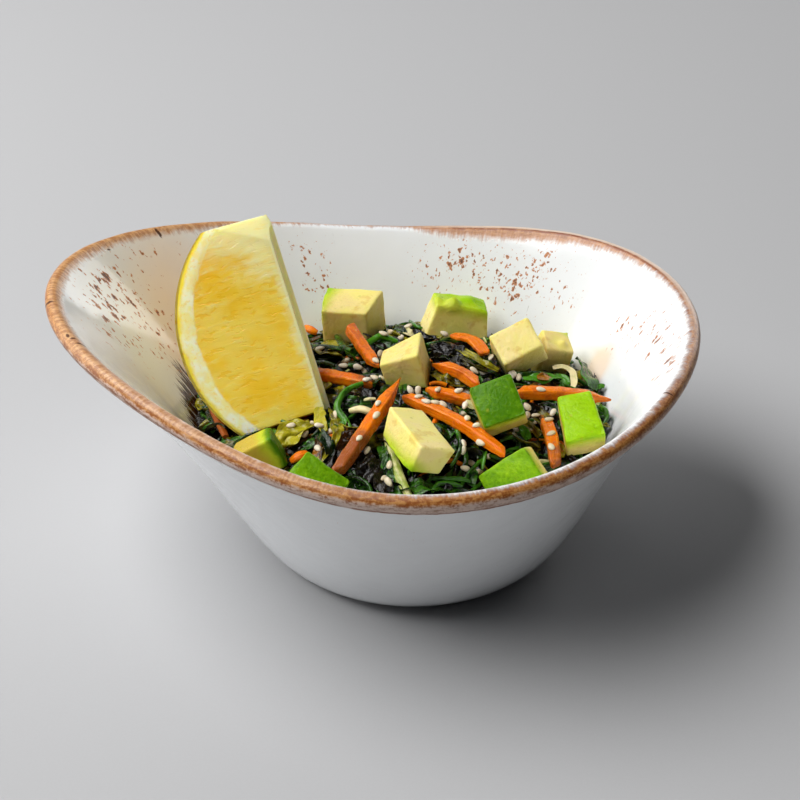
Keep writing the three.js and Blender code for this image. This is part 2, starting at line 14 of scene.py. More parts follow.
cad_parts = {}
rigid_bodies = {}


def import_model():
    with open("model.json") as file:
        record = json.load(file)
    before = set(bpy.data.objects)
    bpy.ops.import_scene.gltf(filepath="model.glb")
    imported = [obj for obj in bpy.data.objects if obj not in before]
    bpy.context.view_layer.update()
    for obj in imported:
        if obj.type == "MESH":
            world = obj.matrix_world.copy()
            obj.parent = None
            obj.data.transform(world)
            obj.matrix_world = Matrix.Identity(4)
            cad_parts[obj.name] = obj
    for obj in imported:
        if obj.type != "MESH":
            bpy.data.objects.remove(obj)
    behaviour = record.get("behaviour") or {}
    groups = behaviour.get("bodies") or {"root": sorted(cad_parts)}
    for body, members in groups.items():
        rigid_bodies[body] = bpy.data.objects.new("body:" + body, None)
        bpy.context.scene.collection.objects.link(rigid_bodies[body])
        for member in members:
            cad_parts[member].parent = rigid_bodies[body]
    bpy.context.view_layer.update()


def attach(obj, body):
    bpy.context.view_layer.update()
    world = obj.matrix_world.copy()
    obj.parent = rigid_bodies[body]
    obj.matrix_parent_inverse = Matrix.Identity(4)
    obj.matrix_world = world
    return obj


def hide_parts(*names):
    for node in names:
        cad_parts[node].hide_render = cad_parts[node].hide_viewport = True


bl_info = {
    "name": "Seaweed Salad Bowl",
    "version": (1, 0, 0),
    "blender": (4, 5, 0),
    "location": "3D View > Sidebar > Salad Bowl",
    "description": "Makes a seaweed salad with its toppings in a glazed bowl",
    "category": "Add Mesh",
}

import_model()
MM = 0.001

# Each of these is a mean followed by its cosine and sine waves round the bowl.
RIM_RADIUS = (83.5, (-8.4, 5.7, -2.0), (1.6, -2.8, 4.3))
RIM_HEIGHT = (65.3, (-2.9, 4.2, -1.7), (-1.0, 0.7))
RIM_SLOPE = (0.87, (0.05, -0.08), ())
FLARE_LENGTH = (40.3, (-8.6, 2.2), ())

# The rim's brown band by bearing in degrees: how far it reaches inwards from the lip's crest, how
# pink its inner edge is, width of the rust outside the crest, where the outer line lies, how bare
# the crest is, and how deep the brown is inside the crest.
RIM_BAND = (
    (-180, 5.2, 0.3, 2.4, 2.4, 0, 0.2), (-165, 4.8, 0.5, 1.5, 2.0, 0, 0.15),
    (-150, 4.2, 0.9, 0.9, 1.7, 0, 0.2), (-130, 3.6, 0.7, 1.6, 3.0, 0, 0.4),
    (-110, 2.8, 0.4, 1.7, 4.4, 0, 0.6), (-90, 2.2, 0.2, 1.7, 4.7, 0, 0.9), (-70, 1.9, 0.1, 1.7, 4.8, 0, 1),
    (-45, 1.9, 0.1, 1.9, 5.4, 0, 1), (-20, 2.4, 0.1, 2.6, 5.8, 0, 1), (0, 3.0, 0.1, 3.0, 5.8, 0.2, 1),
    (20, 3.6, 0.3, 3.0, 5.8, 0.6, 1), (45, 5.0, 0.6, 2.0, 3.0, 1.0, 0.9),
    (58, 6.0, 0.9, 2.0, 3.0, 1.0, 0.8), (74, 5.8, 0.8, 2.0, 3.0, 0.8, 0.8),
    (84, 4.6, 0.7, 2.0, 3.0, 0.5, 0.8), (92, 2.0, 0.4, 2.4, 3.0, 0, 0.9), (112, 1.8, 0.3, 2.4, 3.0, 0, 0.8),
    (122, 3.2, 0.3, 2.4, 2.6, 0, 0.5), (135, 4.8, 0.3, 2.4, 2.4, 0, 0.25),
    (165, 5.4, 0.25, 2.4, 2.4, 0, 0.2), (180, 5.2, 0.3, 2.4, 2.4, 0, 0.2),
)
# Dark nicks on the rim: bearing, distance from the crest, half width along and across the rim in mm.
NICKS = (
    (181.2, -0.7, 0.5, 3.5), (192.8, 1.2, 0.9, 0.5), (193.8, 2.0, 0.35, 1.1), (195.5, 3.2, 0.4, 1.9),
    (143, 3.8, 0.42, 2.2), (155, 5.4, 0.6, 0.4), (332, 1.6, 0.4, 2.0),
)
# How far flecks are drawn out towards the rim, by bearing.
FLECK_STRETCH = (
    (-180, 2.4), (-140, 1.6), (-60, 1.2), (-30, 2.2), (10, 2.4), (35, 1.7), (50, 1.1), (120, 1.1),
    (140, 2.0), (180, 2.4),
)
# Groups of brown flecks inside: bearing in degrees, distance from the crest, their spreads, amount.
FLECK_GROUPS = (
    (163, 13, 6, 5, 0.95), (158, 24, 7, 8, 0.62), (172, 20, 7, 8, 0.7), (163, 38, 6, 9, 0.65),
    (178, 30, 5, 7, 0.5), (115, 17, 3.5, 8, 0.95), (110, 28, 4, 4, 0.7), (76, 11, 6, 4, 0.6),
    (68, 17, 8, 6, 0.65), (56, 11, 5, 5, 0.8), (60, 23, 7, 6, 0.68), (84, 16, 5, 7, 0.5),
    (45, 20, 5, 5, 0.5), (13, 18, 7, 7, 0.7), (1, 11, 7, 6, 0.9), (24, 23, 5, 5, 0.6), (-12, 9, 7, 6, 0.95),
    (148, 8, 7, 3, 0.6), (-150, 16, 14, 8, 0.45), (-75, 20, 16, 9, 0.35), (-110, 30, 14, 8, 0.3),
)
# Peach on the glaze: painted reflection of the lemon on the wall beside it, and one real orange smear
# at bearing 25. Each is bearing, distance from the crest, spreads, amount.
LEMON_REFLECTION_AND_SMEAR = (
    (143, 12, 6, 9, 0.7), (151, 27, 6, 10, 0.9), (158, 44, 5, 8, 0.9), (25, 37, 2.2, 5, 3.0),
)
# Painted shade, with a painted reflection of the dark heap, on the wall next to the heap at the left by the
# lemon: bearing, distance from the crest, spreads, amount.
HEAP_SHADE_PATCHES = (
    (163, 48, 2.2, 5, 0.55), (168, 57, 4.5, 6, 1.1), (180, 61, 7, 5, 1.2),
)
# Green smears on the glaze by the food: bearing, distance from the crest, spreads, amount.
GREEN_SMEARS = (
    (29, 29, 2.2, 4.5, 0.7), (3, 30, 1.6, 6, 0.6), (-8, 26, 1.5, 5, 0.5), (72, 30, 2, 3, 0.6),
    (181, 36, 9, 9, 0.8), (190, 44, 8, 8, 0.7),
)

# Radius of the level circle along which the rim's noise is drawn.
RIM_CIRCLE = 80

# Width of the picture in pixels, lens and sensor in mm, for the places picked in the picture.
PICTURE, LENS, SENSOR = 800, 85.0, 36.0
# Where the camera stands, and how far in degrees it looks down.
EYE, LOOK_DOWN = (-3.383, -452.16, 313.458), 31
# Where the large light stands, and the low ones with their shares of the low power.
KEY_TOWARDS, KEY_DISTANCE = (-0.53, -0.02, 0.85), 1.2
LOW_LIGHTS = {
    "left_light": ((-0.937, 0.251, 0.242), 1.0),
    "right_light": ((0.489, 0.847, 0.208), 0.7),
    "back_light": ((-0.433, 0.75, 0.5), 0.3),
}
LOW_DISTANCE, LOW_SIZE = 1.5, 0.9
FLOOR_REACH = 4

# Half lengths of the heap along X and Y.
HEAP_SPAN = np.array([60.0, 57.0])

# Avocado dice, placed as in the solids: centre, size along the piece's own axes, turn about Z, tilt
# about Y, roll about X, the end that narrows and its share of the width, the direction of the skin
# side, how deep under that side the corner of the piece starts, how light its green is, and its
# painted shade: how far its yellow is darkened towards olive where shade falls on the piece. The
# left die's green is also set low as painted shade of its shaded side.
DICE = {
    "avocado_back_left": ((-18, 44, 44), (17.5, 14, 13), (-14, -4, -2),
        ("-y", 0.8), (-1, 0.2, 0.25), 0.0, 0.75, 0.12),
    "avocado_back_mid": ((13.6, 45, 43), (19.5, 11, 11.5), (6, 12, -2),
        ("z", 0.8), (0.06, 0.12, 1), 0.0, 0.9, 0.0),
    "avocado_back_right": ((30.5, 20.2, 47.1), (13.2, 11, 10), (15, -23, 31),
        ("z", 0.95), (-1, 0.3, -0.5), 5.5, 0.5, 0.0),
    "avocado_far_right": ((40.7, 27.6, 40.8), (10, 10, 11), (15, 17, 14),
        ("z", 0.85), (0.6, 0.8, 0.5), 2.0, 0.5, 0.15),
    "avocado_centre": ((-2.1, 7.6, 49), (12, 13.5, 11.5), (-5, -16, 1),
        ("-x", 0.6), (-0.35, -0.35, -1), 0.9, 0.4, 0.1),
    "avocado_green": ((22.9, -19.7, 52), (12.4, 12.6, 10), (11, -17, 41),
        ("z", 0.95), (0, 0, 1), 0, 0.1, 0.5),
    "avocado_right": ((44.9, -21.5, 47.6), (10.8, 14.5, 9), (6, -10, 28),
        ("y", 0.85), (0, 0, 1), 0, 0.85, 0.3),
    "avocado_front_right": ((26.5, -39.8, 41.9), (15.5, 10.5, 8), (2, -37, 53),
        ("y", 0.95), (0, 0, 1), 0.2, 0.4, 0.0),
    "avocado_front": ((0.9, -34.9, 50), (10.8, 20.5, 8.6), (26, 21, 4),
        ("-z", 0.85), (-0.7, -0.1, -1), 0.5, 0.6, 0.0),
    "avocado_front_left": ((-25.3, -45.6, 43.4), (15, 11, 8), (-22, 29, 32),
        ("y", 0.9), (0, 0, 1), 0, 0.35, 0.2),
    "avocado_left": ((-40.8, -28.4, 42), (12.5, 8.6, 10), (4, -28, -2),
        ("y", 0.85), (1, 0, 0), 0.0, -0.15, 0.85),
}
# Torn knobs left on dice: place along the piece's own axes as a share of its half size, height, radius.
KNOBS = {
    "avocado_back_mid": ((-0.3, -0.5, 1, 2.2, 1.8), (0.3, 0.2, 1, 1.2, 2.4), (-0.75, -0.2, 1, 0.9, 1.6)),
    "avocado_far_right": ((0.2, -0.3, 1, 1.4, 1.1),),
    "avocado_back_right": ((-0.1, 0.2, 1, 0.3, 0.7),),
}

# Carrot sticks: start, bow at the middle, end, width, height, how much sauce clings to the end, share
# of the width left at the start and at the end, and how far the ends are cut aslant.
CARROTS = {
    "carrot_front": ((-3.4, -9, 53.5), (0.5, 0.6, 0.4), (-19.7, -40.2, 43.9), 3.7, 3.7, 1.0, 0.22, 0.9, 0.5),
    "carrot_long": ((-1.7, -9.6, 48.5), (0.6, 0.6, 0.7), (24.2, -33.7, 45.6), 3.3, 3.3, 0.0, 0.9, 0.75, 0.4),
    "carrot_upright": ((-18.2, 29.1, 49), (0.4, -0.2, -0.8), (-9.9, 9.8, 47), 3.3, 3.3, 0.4, 1.0, 0.5, -0.4),
    "carrot_left": ((-27.6, 7.7, 46), (-0.4, -0.5, 0.4), (-11.1, -1.8, 48), 3.3, 3.3, 0.6, 0.9, 0.8, 0.3),
    "carrot_mid": ((7, 7.7, 48.6), (0.3, 0.4, 0.6), (18.4, -1.2, 47.4), 3.3, 3.3, 0.0, 0.55, 1.0, 0.8),
    "carrot_inner": ((4.3, -4.5, 47.4), (0.3, -0.4, 0.4), (16.4, -9.2, 46.6), 3.3, 3.3, 0.3, 0.6, 0.9, -0.6),
    "carrot_right": ((29.2, -4.2, 46.8), (0.2, -0.5, 0.8), (54.1, 0.2, 42), 3.4, 3.4, 0.0, 1.0, 0.4, 0.9),
    "carrot_shaving": ((11.8, 31.6, 45), (1.2, 0.4, 1.2), (21.2, 19.2, 45.6), 4.0, 1.6, 0.0, 0.7, 0.9, 0.0),
    "carrot_edge": ((36.3, -15.3, 44), (0.3, 0.2, 0.6), (37.7, -34.6, 42.6), 3.6, 3.6, 0.75, 0.9, 0.8, 0.4),
}

# How square a stick's section is: 1 is a circle, 0 a square.
SQUARENESS = 0.42

# Lemon wedge: radius and half length of the whole fruit, half width of the trimmed core, its lower
# and upper ends, the planes of the two upper cuts as a level and its rise outwards and backwards,
# the foot, and the direction of the core and of the rind in the face that is seen.
LEMON = {
    "radius": 36.6, "half_length": 38.6, "core": 3.2, "below": -25.5, "above": 34.0,
    "cuts": ((31.5, 0.0, 0.0), (23.8, 0.56, 2.1)),
    "foot": (-21, -9.2, 45.6), "ahead": (-0.305, 0.55, 0.775), "out": (-0.962, -0.12, -0.24),
}

# Strands that stand out: kind, width, thickness, tone, and points picked in the picture, each with
# pixels from the left and from the top and a lift off the heap in mm.
STRANDS = (
    ("green", 2.2, 1.9, 0.35, ((311, 340, 1.5), (320, 334, 2.4), (330, 332, 3), (338, 338, 2.4),
        (344, 347, 1.8), (352, 351, 1.8))),
    ("green", 2.1, 1.7, 0.95, ((349, 353, 1.6), (360, 348, 2.2), (370, 342, 2.8), (380, 336, 3),
        (388, 338, 2.2), (398, 342, 1.2))),
    ("green", 1.6, 1.3, 0.25, ((309, 344, 0.8), (318, 347, 1.2), (330, 347, 1.2), (345, 350, 0.6))),
    ("green", 2.2, 1.9, 0.75, ((394, 381, 2), (384, 382, 2.8), (372, 382, 3.4), (360, 384, 3.6),
        (349, 389, 3.4), (341, 397, 3), (337, 406, 2.4), (339, 412, 1.6), (345, 420, 1.2),
        (351, 430, 0.6))),
    ("green", 1.6, 1.3, 0.3, ((427, 345, 1.4), (440, 343, 2), (455, 342, 1.6), (463, 345, 0.8))),
    ("green", 1.5, 1.2, 0.45, ((452, 424, 1.6), (458, 433, 2.2), (461, 445, 2.2), (457, 457, 1.6),
        (450, 467, 0.8))),
    ("pale", 1, 0.7, 0.6, ((484, 338, 4.5), (488, 346, 3.6), (495, 353, 3), (505, 358, 2.6),
        (515, 363, 2.4), (521, 370, 1.6))),
    ("green", 1.3, 1.1, 0.55, ((410, 321, 3.2), (416, 326, 2.6), (424, 329, 2))),
    ("brown", 1.4, 1.1, 0.9, ((418, 326, 2.6), (426, 329, 2.2), (435, 334, 1.4))),
    ("pale", 2.9, 2.1, 0.9, ((350, 411, 0.9), (360, 409, 1.4), (368, 411, 1.4), (376, 415, 0.8))),
    ("pale", 1.3, 1, 0.85, ((362, 401, 0.9), (369, 399, 1.2), (376, 399, 0.8))),
    ("pale", 2.9, 2.4, 0.35, ((387, 436, 0.8), (390, 448, 1), (394, 462, 1.2), (400, 478, 1.4),
        (409, 497, 1.2))),
    ("green", 1.6, 1.3, 0.8, ((596, 390, 0.8), (600, 386, 2), (605, 387, 2.4), (607, 393, 1.4),
        (606, 399, 0.4))),
    ("green", 1.7, 1.4, 0.5, ((600, 406, 0.6), (605, 410, 2), (607, 417, 2.2), (604, 424, 0.8))),
    ("green", 1.3, 1, 0.6, ((486, 452, 2), (484, 460, 1.6), (482, 470, 0.8))),
    ("green", 1.6, 1.2, 0.35, ((430, 478, 1.2), (445, 479, 1.8), (460, 479, 1.8), (470, 482, 1))),
    ("green", 1.7, 1.3, 0.55, ((432, 497, 0.6), (434, 489, 1.4), (440, 484, 1.6), (452, 484, 1.2),
        (462, 487, 0.6))),
    ("green", 1.4, 1.1, 0.3, ((500, 441, 1), (511, 437, 1.6), (520, 439, 1.4), (528, 445, 0.8))),
    ("black", 1, 0.7, 0.9, ((353, 330, 2), (362, 333, 2.4), (372, 337, 1.8))),
    ("green", 1.5, 1.2, 0.15, ((352, 338, 1), (362, 340, 1.4), (374, 345, 1.2), (384, 349, 0.6))),
    # The first and last carrot shreds, at tone 1.2, are browned all over as painted shade under the lemon.
    ("carrot", 2.6, 2, 1.2, ((210, 402, 1.4), (217, 418, 1.8), (226, 437, 1.2))),
    ("carrot", 3, 2, 0.1, ((291, 461, 1), (299, 456, 2), (307, 453, 1.6))),
    ("carrot", 2.6, 2, 0.1, ((305, 327, 1.6), (311, 330, 2.2), (317, 333, 1.6))),
    ("carrot", 2.6, 1.9, 1.2, ((279, 449, 0.6), (284, 456, 1.2), (290, 462, 1))),
)
# Leaves that stand out: kind, width, ripple, roll, tone, and picked points as for the strands.
LEAVES = (
    ("olive", 4.2, 0.5, -0.3, 0.35, ((310, 350, 0.8), (320, 352, 1.6), (332, 354, 1.4), (343, 357, 0.6))),
    ("olive", 3.4, 0.35, 0.4, 0.75, ((322, 341, 0.6), (330, 344, 1.2), (338, 347, 0.8))),
    ("olive", 3, 0.35, -0.4, 0.55, ((386, 329, 1.4), (394, 333, 2), (402, 337, 1.6), (407, 341, 0.6))),
    ("pale", 3.2, 0.3, 0.2, 0.75, ((402, 329, 1.6), (408, 333, 2), (414, 337, 1))),
    ("green", 2.2, 0.3, 0.6, 0.2, ((394, 328, 2), (401, 329, 2.8), (406, 334, 1.8))),
    ("black", 6.5, 1.1, 0.3, 0.3, ((432, 352, 1), (442, 349, 2.2), (453, 352, 2.2), (465, 358, 1))),
    ("black", 5.5, 1, -0.3, 0.3, ((430, 362, 0.6), (442, 359, 1.6), (455, 362, 1.2), (468, 368, 0.4))),
    ("olive", 2.2, 0.25, 0.3, 0.45, ((456, 349, 2), (468, 354, 2.6), (483, 363, 2.4), (498, 371, 1.2))),
    ("olive", 2.4, 0.3, -0.2, 0.15, ((452, 356, 1.4), (465, 361, 1.8), (480, 369, 1.4), (488, 373, 0.6))),
    ("olive", 3.2, 0.4, 0.2, 0.1, ((433, 411, 2.8), (441, 417, 3.4), (449, 424, 3), (456, 433, 1.6))),
    ("green", 3.2, 0.5, 0.3, 0.15, ((491, 343, 1.6), (498, 348, 2.2), (505, 353, 1.8), (510, 358, 1))),
    ("olive", 7.5, 0.4, -0.9, 0.2, ((529, 371, 1.2), (538, 362, 3), (546, 360, 3.4), (556, 369, 1.4))),
    ("green", 3.6, 0.5, 0.15, 0.85, ((523, 379, 1.2), (533, 379, 1.8), (543, 379, 2), (553, 377, 2.2),
        (563, 379, 2), (567, 386, 1))),
    ("brown", 3.2, 0.3, 0.15, 0.7, ((537, 378, 2.3), (543, 378, 2.6), (549, 377, 2.4))),
    ("pale", 2.1, 0.1, 0.1, 0.95, ((553, 369, 2.6), (560, 367, 3.8), (568, 369, 4), (573, 375, 3.6),
        (574, 383, 2.6), (572, 391, 1.2))),
    ("green", 7.5, 0.6, -0.8, 0.5, ((560, 349, 2.6), (571, 354, 4.2), (582, 364, 4.6), (589, 377, 3.6),
        (591, 389, 1.6))),
    ("black", 2, 0.2, -0.9, 0.4, ((584, 357, 2.6), (591, 367, 2.6), (595, 378, 2), (594, 388, 1))),
    ("green", 4, 0.6, -0.5, 0.45, ((565, 386, 0.6), (573, 389, 1.2), (583, 391, 1.2), (590, 393, 0.6))),
    ("olive", 3, 0.5, 0.4, 0.4, ((488, 429, 1), (500, 425, 1.8), (512, 423, 2.2), (524, 424, 2.2),
        (533, 429, 1.8), (540, 436, 1))),
    ("olive", 3, 0.5, -0.4, 0.25, ((496, 433, 0.8), (508, 432, 1.4), (516, 438, 1.4), (528, 444, 1.2),
        (540, 447, 0.6))),
    ("green", 2.6, 0.3, 0.3, 0.8, ((520, 427, 2.2), (525, 432, 2), (528, 440, 1.2))),
    ("brown", 4, 0.4, 0.1, 0.4, ((541, 412, 1), (546, 421, 1.8), (549, 432, 2), (552, 443, 1.6))),
    ("brown", 3.4, 0.4, -0.3, 0.85, ((540, 440, 1), (551, 443, 2), (561, 450, 2.4), (570, 454, 2.6),
        (577, 452, 2))),
    ("olive", 3, 0.4, 0.5, 0.95, ((556, 447, 1.8), (564, 454, 2.2), (573, 456, 2.2), (578, 453, 1.6))),
    ("olive", 4.6, 0.7, 0.3, 0.15, ((537, 412, 0.8), (543, 419, 1.4), (548, 430, 1))),
    ("pale", 3.2, 0.6, 0.3, 0.6, ((461, 402, 1), (468, 404, 1.8), (475, 408, 1.4))),
    ("olive", 4, 0.6, -0.4, 0.3, ((455, 406, 0.6), (460, 416, 1.2), (467, 424, 1))),
    ("olive", 4.6, 0.9, 0.5, 0.75, ((276, 438, 0.6), (284, 432, 1.6), (294, 428, 2.2), (304, 425, 1.6),
        (311, 423, 0.8))),
    ("olive", 4.2, 0.9, -0.6, 0.85, ((283, 452, 0.8), (290, 444, 1.8), (299, 437, 2.2), (308.1, 431, 1.6))),
    ("olive", 3.4, 0.7, 0.7, 0.6, ((278, 449, 0.6), (285, 441, 1.4), (290, 433, 1.6))),
    ("green", 3, 0.5, 0.4, 0.3, ((302, 449, 0.6), (309, 445, 1.4), (316, 440, 1.2))),
    ("brown", 3.6, 0.5, 0.2, 0.15, ((322, 437, 1), (320, 447, 1.6), (317, 457, 1.2), (315, 466, 0.6))),
    ("olive", 2.4, 0.3, -0.3, 0.7, ((326, 449, 1.2), (322, 457, 1.4), (318, 464, 0.8))),
    ("green", 3.4, 0.6, 0.2, 0.1, ((317, 434, 1.4), (324, 438, 2.2), (329, 446, 1.8), (331, 456, 0.8))),
    ("olive", 3.6, 0.4, -0.4, 0.7, ((333, 413, 1), (336, 424, 1.8), (337, 435, 1.8), (335, 446, 0.8))),
    ("olive", 3.4, 0.3, 0.2, 1, ((320, 405, 1.4), (320, 414, 2.2), (321, 424, 2.4), (325, 432, 1.4))),
    ("olive", 3.2, 0.4, 0.2, 0.65, ((327, 379, 1), (326, 389, 1.8), (323, 399, 1.8), (319, 408, 1))),
    ("brown", 3.2, 0.6, -0.4, 0.05, ((350, 424, 0.8), (347, 435, 1.4), (342, 446, 1.4), (338, 457, 0.6))),
    ("black", 6, 1.1, 0.3, 0.5, ((362, 449, 0.8), (364, 460, 1.6), (367, 471, 1.6), (372, 482, 0.8))),
    ("black", 5.5, 1, -0.3, 0.7, ((373, 462, 0.6), (378, 473, 1.4), (383, 483, 1.6), (386, 493, 0.8))),
    ("green", 3, 0.6, 0.4, 0.3, ((382, 447, 0.8), (385, 457, 1.6), (388, 468, 1.4), (387, 478, 0.4))),
    ("green", 6, 1, -0.2, 0.3, ((400, 490, 0.6), (414, 487, 1.4), (430, 489, 1.8), (446, 490, 1.4),
        (460, 491, 0.6))),
    ("green", 4.4, 1, 0.3, 0.15, ((466, 478, 0.8), (478, 481, 1.6), (490, 486, 1.2), (500, 489, 0.4))),
    ("green", 4, 0.9, 0.4, 0.25, ((419, 436, 1), (430, 430, 1.6), (442, 431, 1.4), (451, 437, 0.6))),
    ("olive", 3, 0.6, -0.3, 0.3, ((442, 457, 0.6), (450, 455, 1.2), (458, 459, 0.8))),
    ("pale", 2.6, 0.4, 0.1, 0.45, ((349, 401, 0.6), (354, 398, 1.2), (359, 402, 0.8))),
    ("green", 3.4, 0.6, 0.5, 0.3, ((352, 403, 0.4), (361, 407, 1), (371, 405, 0.8))),
    ("olive", 3, 0.5, 0.2, 0.25, ((336, 388, 0.4), (346, 393, 0.9), (356, 393, 0.8), (366, 391, 0.4))),
    ("green", 3.4, 0.6, -0.3, 0.2, ((232, 446, 0.6), (240, 440, 1.4), (250, 435, 1.6), (258, 433, 0.6))),
    # These two leaves by the lemon's foot are kept dark in tone as painted shade under the lemon.
    ("brown", 3.4, 0.4, 0.6, 0.1, ((213, 404, 1), (216, 414, 1.6), (220, 424, 1.4), (225, 434, 0.6))),
    ("green", 3.6, 0.5, 0.4, 0.1, ((209, 398, 1.6), (211, 410, 1.4), (216, 424, 1))),
    ("olive", 4.4, 0.8, 0.3, 0.3, ((433, 373, 0.8), (444, 377, 1.4), (455, 383, 1.2), (466, 386, 0.6))),
    ("olive", 3, 0.4, 0.3, 0.5, ((440, 336, 1.6), (449, 337, 2.6), (459, 340, 2.8), (467, 343, 2))),
)

# Scattered layers: kind, form, tries as a share of the strands or leaves, ranges of length, width and
# lift, thickness of a strand or ripple of a leaf against its width, and the share of the heap's
# radius where the layer starts.
SCATTER = (
    ("green", "strand", 0.7, (12, 32), (1.1, 2.1), (-1.8, 0.5), 0.75, 0),
    ("black", "leaf", 0.6, (9, 22), (4.0, 7.5), (-2.0, 0.4), 0.5, 0),
    ("olive", "leaf", 0.35, (8, 18), (2.4, 4.6), (-1.4, 0.4), 0.5, 0),
    ("green", "leaf", 0.45, (10, 24), (2.6, 5.4), (-1.5, 0.5), 0.45, 0),
    ("brown", "leaf", 0.3, (8, 18), (2.0, 4.4), (-1.4, 0.3), 0.5, 0),
    ("pale", "strand", 0.04, (6, 14), (1.2, 2.2), (-1.0, 0.3), 0.8, 0),
    ("carrot", "strand", 0.10, (6, 14), (1.4, 2.4), (-1.2, 0.2), 0.7, 0),
    ("green", "strand", 0.45, (8, 20), (1.3, 2.4), (-0.8, 0.9), 0.75, 0.82),
    ("olive", "leaf", 0.4, (7, 14), (2.4, 4.4), (-0.8, 0.7), 0.5, 0.84),
)

# Sesame seeds picked in the picture: pixels from the left and from the top, and the lean there in
# degrees. Their headings are worked out on a level near the heap's top.
SESAME_LEVEL = 48
SESAME = (
    (320, 349, 0), (346, 361, 10), (343, 366, 0), (358, 367, -15), (363, 371, -25), (374, 378, -25),
    (382, 379, 0), (367, 380, 10), (383, 334, -12), (391, 332, 0), (408, 327, 0), (423, 331, 0),
    (433, 332, 30), (401, 338, 8), (444, 334, -12), (376, 361, -35), (380, 354, 70), (410, 390, -48),
    (418, 391, 85), (419, 397, 8), (426, 402, -18), (435, 403, -8), (443, 405, -25), (438, 390, 50),
    (376, 416, 45), (378, 404, 60), (336, 415, 60), (491, 358, 60), (500, 361, -60), (474, 371, -15),
    (482, 373, -8), (514, 374, -40), (519, 377, 70), (459, 391, 20), (467, 392, -35), (471, 399, 80),
    (465, 406, 60), (463, 414, 15), (467, 419, 80), (478, 417, 60), (476, 426, 25), (527, 416, 80),
    (536, 416, 5), (541, 390, -5), (553, 413, 40), (517, 430, -15), (551, 434, 20), (551, 447, -60),
    (568, 450, 3), (481, 443, -25), (463, 444, -60), (463, 450, 85), (489, 457, 60), (527, 407, -40),
    (319, 426, 0), (331, 431, 10), (318, 449, -50), (359, 439, 50), (312, 424, 60), (291, 426, 5),
    (390, 465, 65), (384, 479, 40), (389, 482, -70), (465, 469, 0), (472, 464, -20), (479, 472, 10),
    (367, 451, 50), (305, 434, 50), (512, 375, -60), (395, 371, 20), (429, 362, -30), (504, 346, 80),
    (549, 420, 10), (533, 422, -30),
)


# ---------------------------------------------------------------- settings
def length(name, description, default, low=0.0, high=1.0):
    """A length in metres that the sidebar shows in the scene's unit."""
    return bpy.props.FloatProperty(name=name, description=description, default=default, min=low,
                                   max=high, unit="LENGTH", subtype="DISTANCE", precision=5)


def colour(name, description, default):
    """A colour, as linear red, green and blue."""
    return bpy.props.FloatVectorProperty(name=name, description=description, default=default,
                                         size=3, min=0, max=1, subtype="COLOR")


class BowlSettings(bpy.types.PropertyGroup):
    """Sizes and colours of the bowl."""
    wall: length("Wall", "Thickness of the wall and of its rounded lip", 0.0044)
    foot_radius: length("Foot radius", "Radius of the flat foot", 0.0354)
    foot_roll: length("Foot roll", "How far the base runs out before it turns up", 0.0156)
    band: length("Band outwards", "Reach of the brown band down the outside of the lip", 0.0052)
    glaze: colour("Glaze", "Colour of the glaze", (0.905, 0.925, 0.94))
    band_light: colour("Band, tan", "Colour of the band inside the crest", (0.76, 0.44, 0.19))
    band_dark: colour("Band, rust", "Darkest rust of the band", (0.30, 0.085, 0.014))
    band_pink: colour("Band, dusty", "Dusty colour of the band down the outside", (0.66, 0.50, 0.42))
    fleck: colour("Fleck", "Colour of the flecks", (0.13, 0.034, 0.010))


class SaladSettings(bpy.types.PropertyGroup):
    """Sizes, amounts and colours of the seaweed heap."""
    edge: length("Edge level", "Height of the salad at the wall", 0.0335)
    rise: length("Rise", "Rise of the heap above its edge", 0.013)
    sunk: length("Core depth", "How far the core lies under the strands", 0.0028)
    strands: bpy.props.IntProperty(name="Strands", description="Tries at scattering strands over the heap",
                                   default=260, min=0, max=2000)
    leaves: bpy.props.IntProperty(name="Leaves", description="Tries at scattering leaves over the heap",
                                  default=150, min=0, max=1000)
    seed: bpy.props.IntProperty(name="Seed", description="Start of the random draws", default=5)
    green: colour("Green", "Darkest colour of the green seaweed", (0.003, 0.013, 0.002))
    olive: colour("Olive", "Darkest colour of the olive leaves", (0.022, 0.018, 0.002))
    brown: colour("Brown", "Darkest colour of the brown leaves", (0.016, 0.007, 0.002))
    black: colour("Black", "Darkest colour of the black strips", (0.002, 0.0015, 0.0015))
    pale: colour("Pale", "Palest colour of the stems", (0.86, 0.74, 0.40))


class ToppingSettings(bpy.types.PropertyGroup):
    """Sizes and colours of the avocado, carrot, lemon and sesame."""
    dice_round: length("Dice rounding", "Rounding of the avocado's edges", 0.0008)
    wedge: bpy.props.FloatProperty(name="Wedge", description="Angle of the lemon wedge",
                                   default=math.radians(58), subtype="ANGLE")
    pith: length("Pith", "Depth of the lemon's rind and pith", 0.0056)
    seed_length: length("Sesame length", "Length of a sesame seed", 0.0028)
    seed_width: length("Sesame width", "Width of a sesame seed", 0.0017)
    seed_height: length("Sesame height", "Thickness of a sesame seed", 0.0011)
    flesh: colour("Avocado flesh", "Colour of the avocado's middle", (0.94, 0.82, 0.25))
    skin_side: colour("Avocado skin side", "Colour of the avocado under its skin", (0.075, 0.225, 0.002))
    carrot: colour("Carrot", "Colour of the carrot", (0.84, 0.165, 0.001))
    rind: colour("Rind", "Colour of the lemon's rind", (1.0, 0.74, 0.06))
    pulp: colour("Pulp", "Colour of the lemon's flesh", (1.0, 0.715, 0.12))
    sesame: colour("Sesame", "Colour of the sesame", (0.74, 0.62, 0.42))


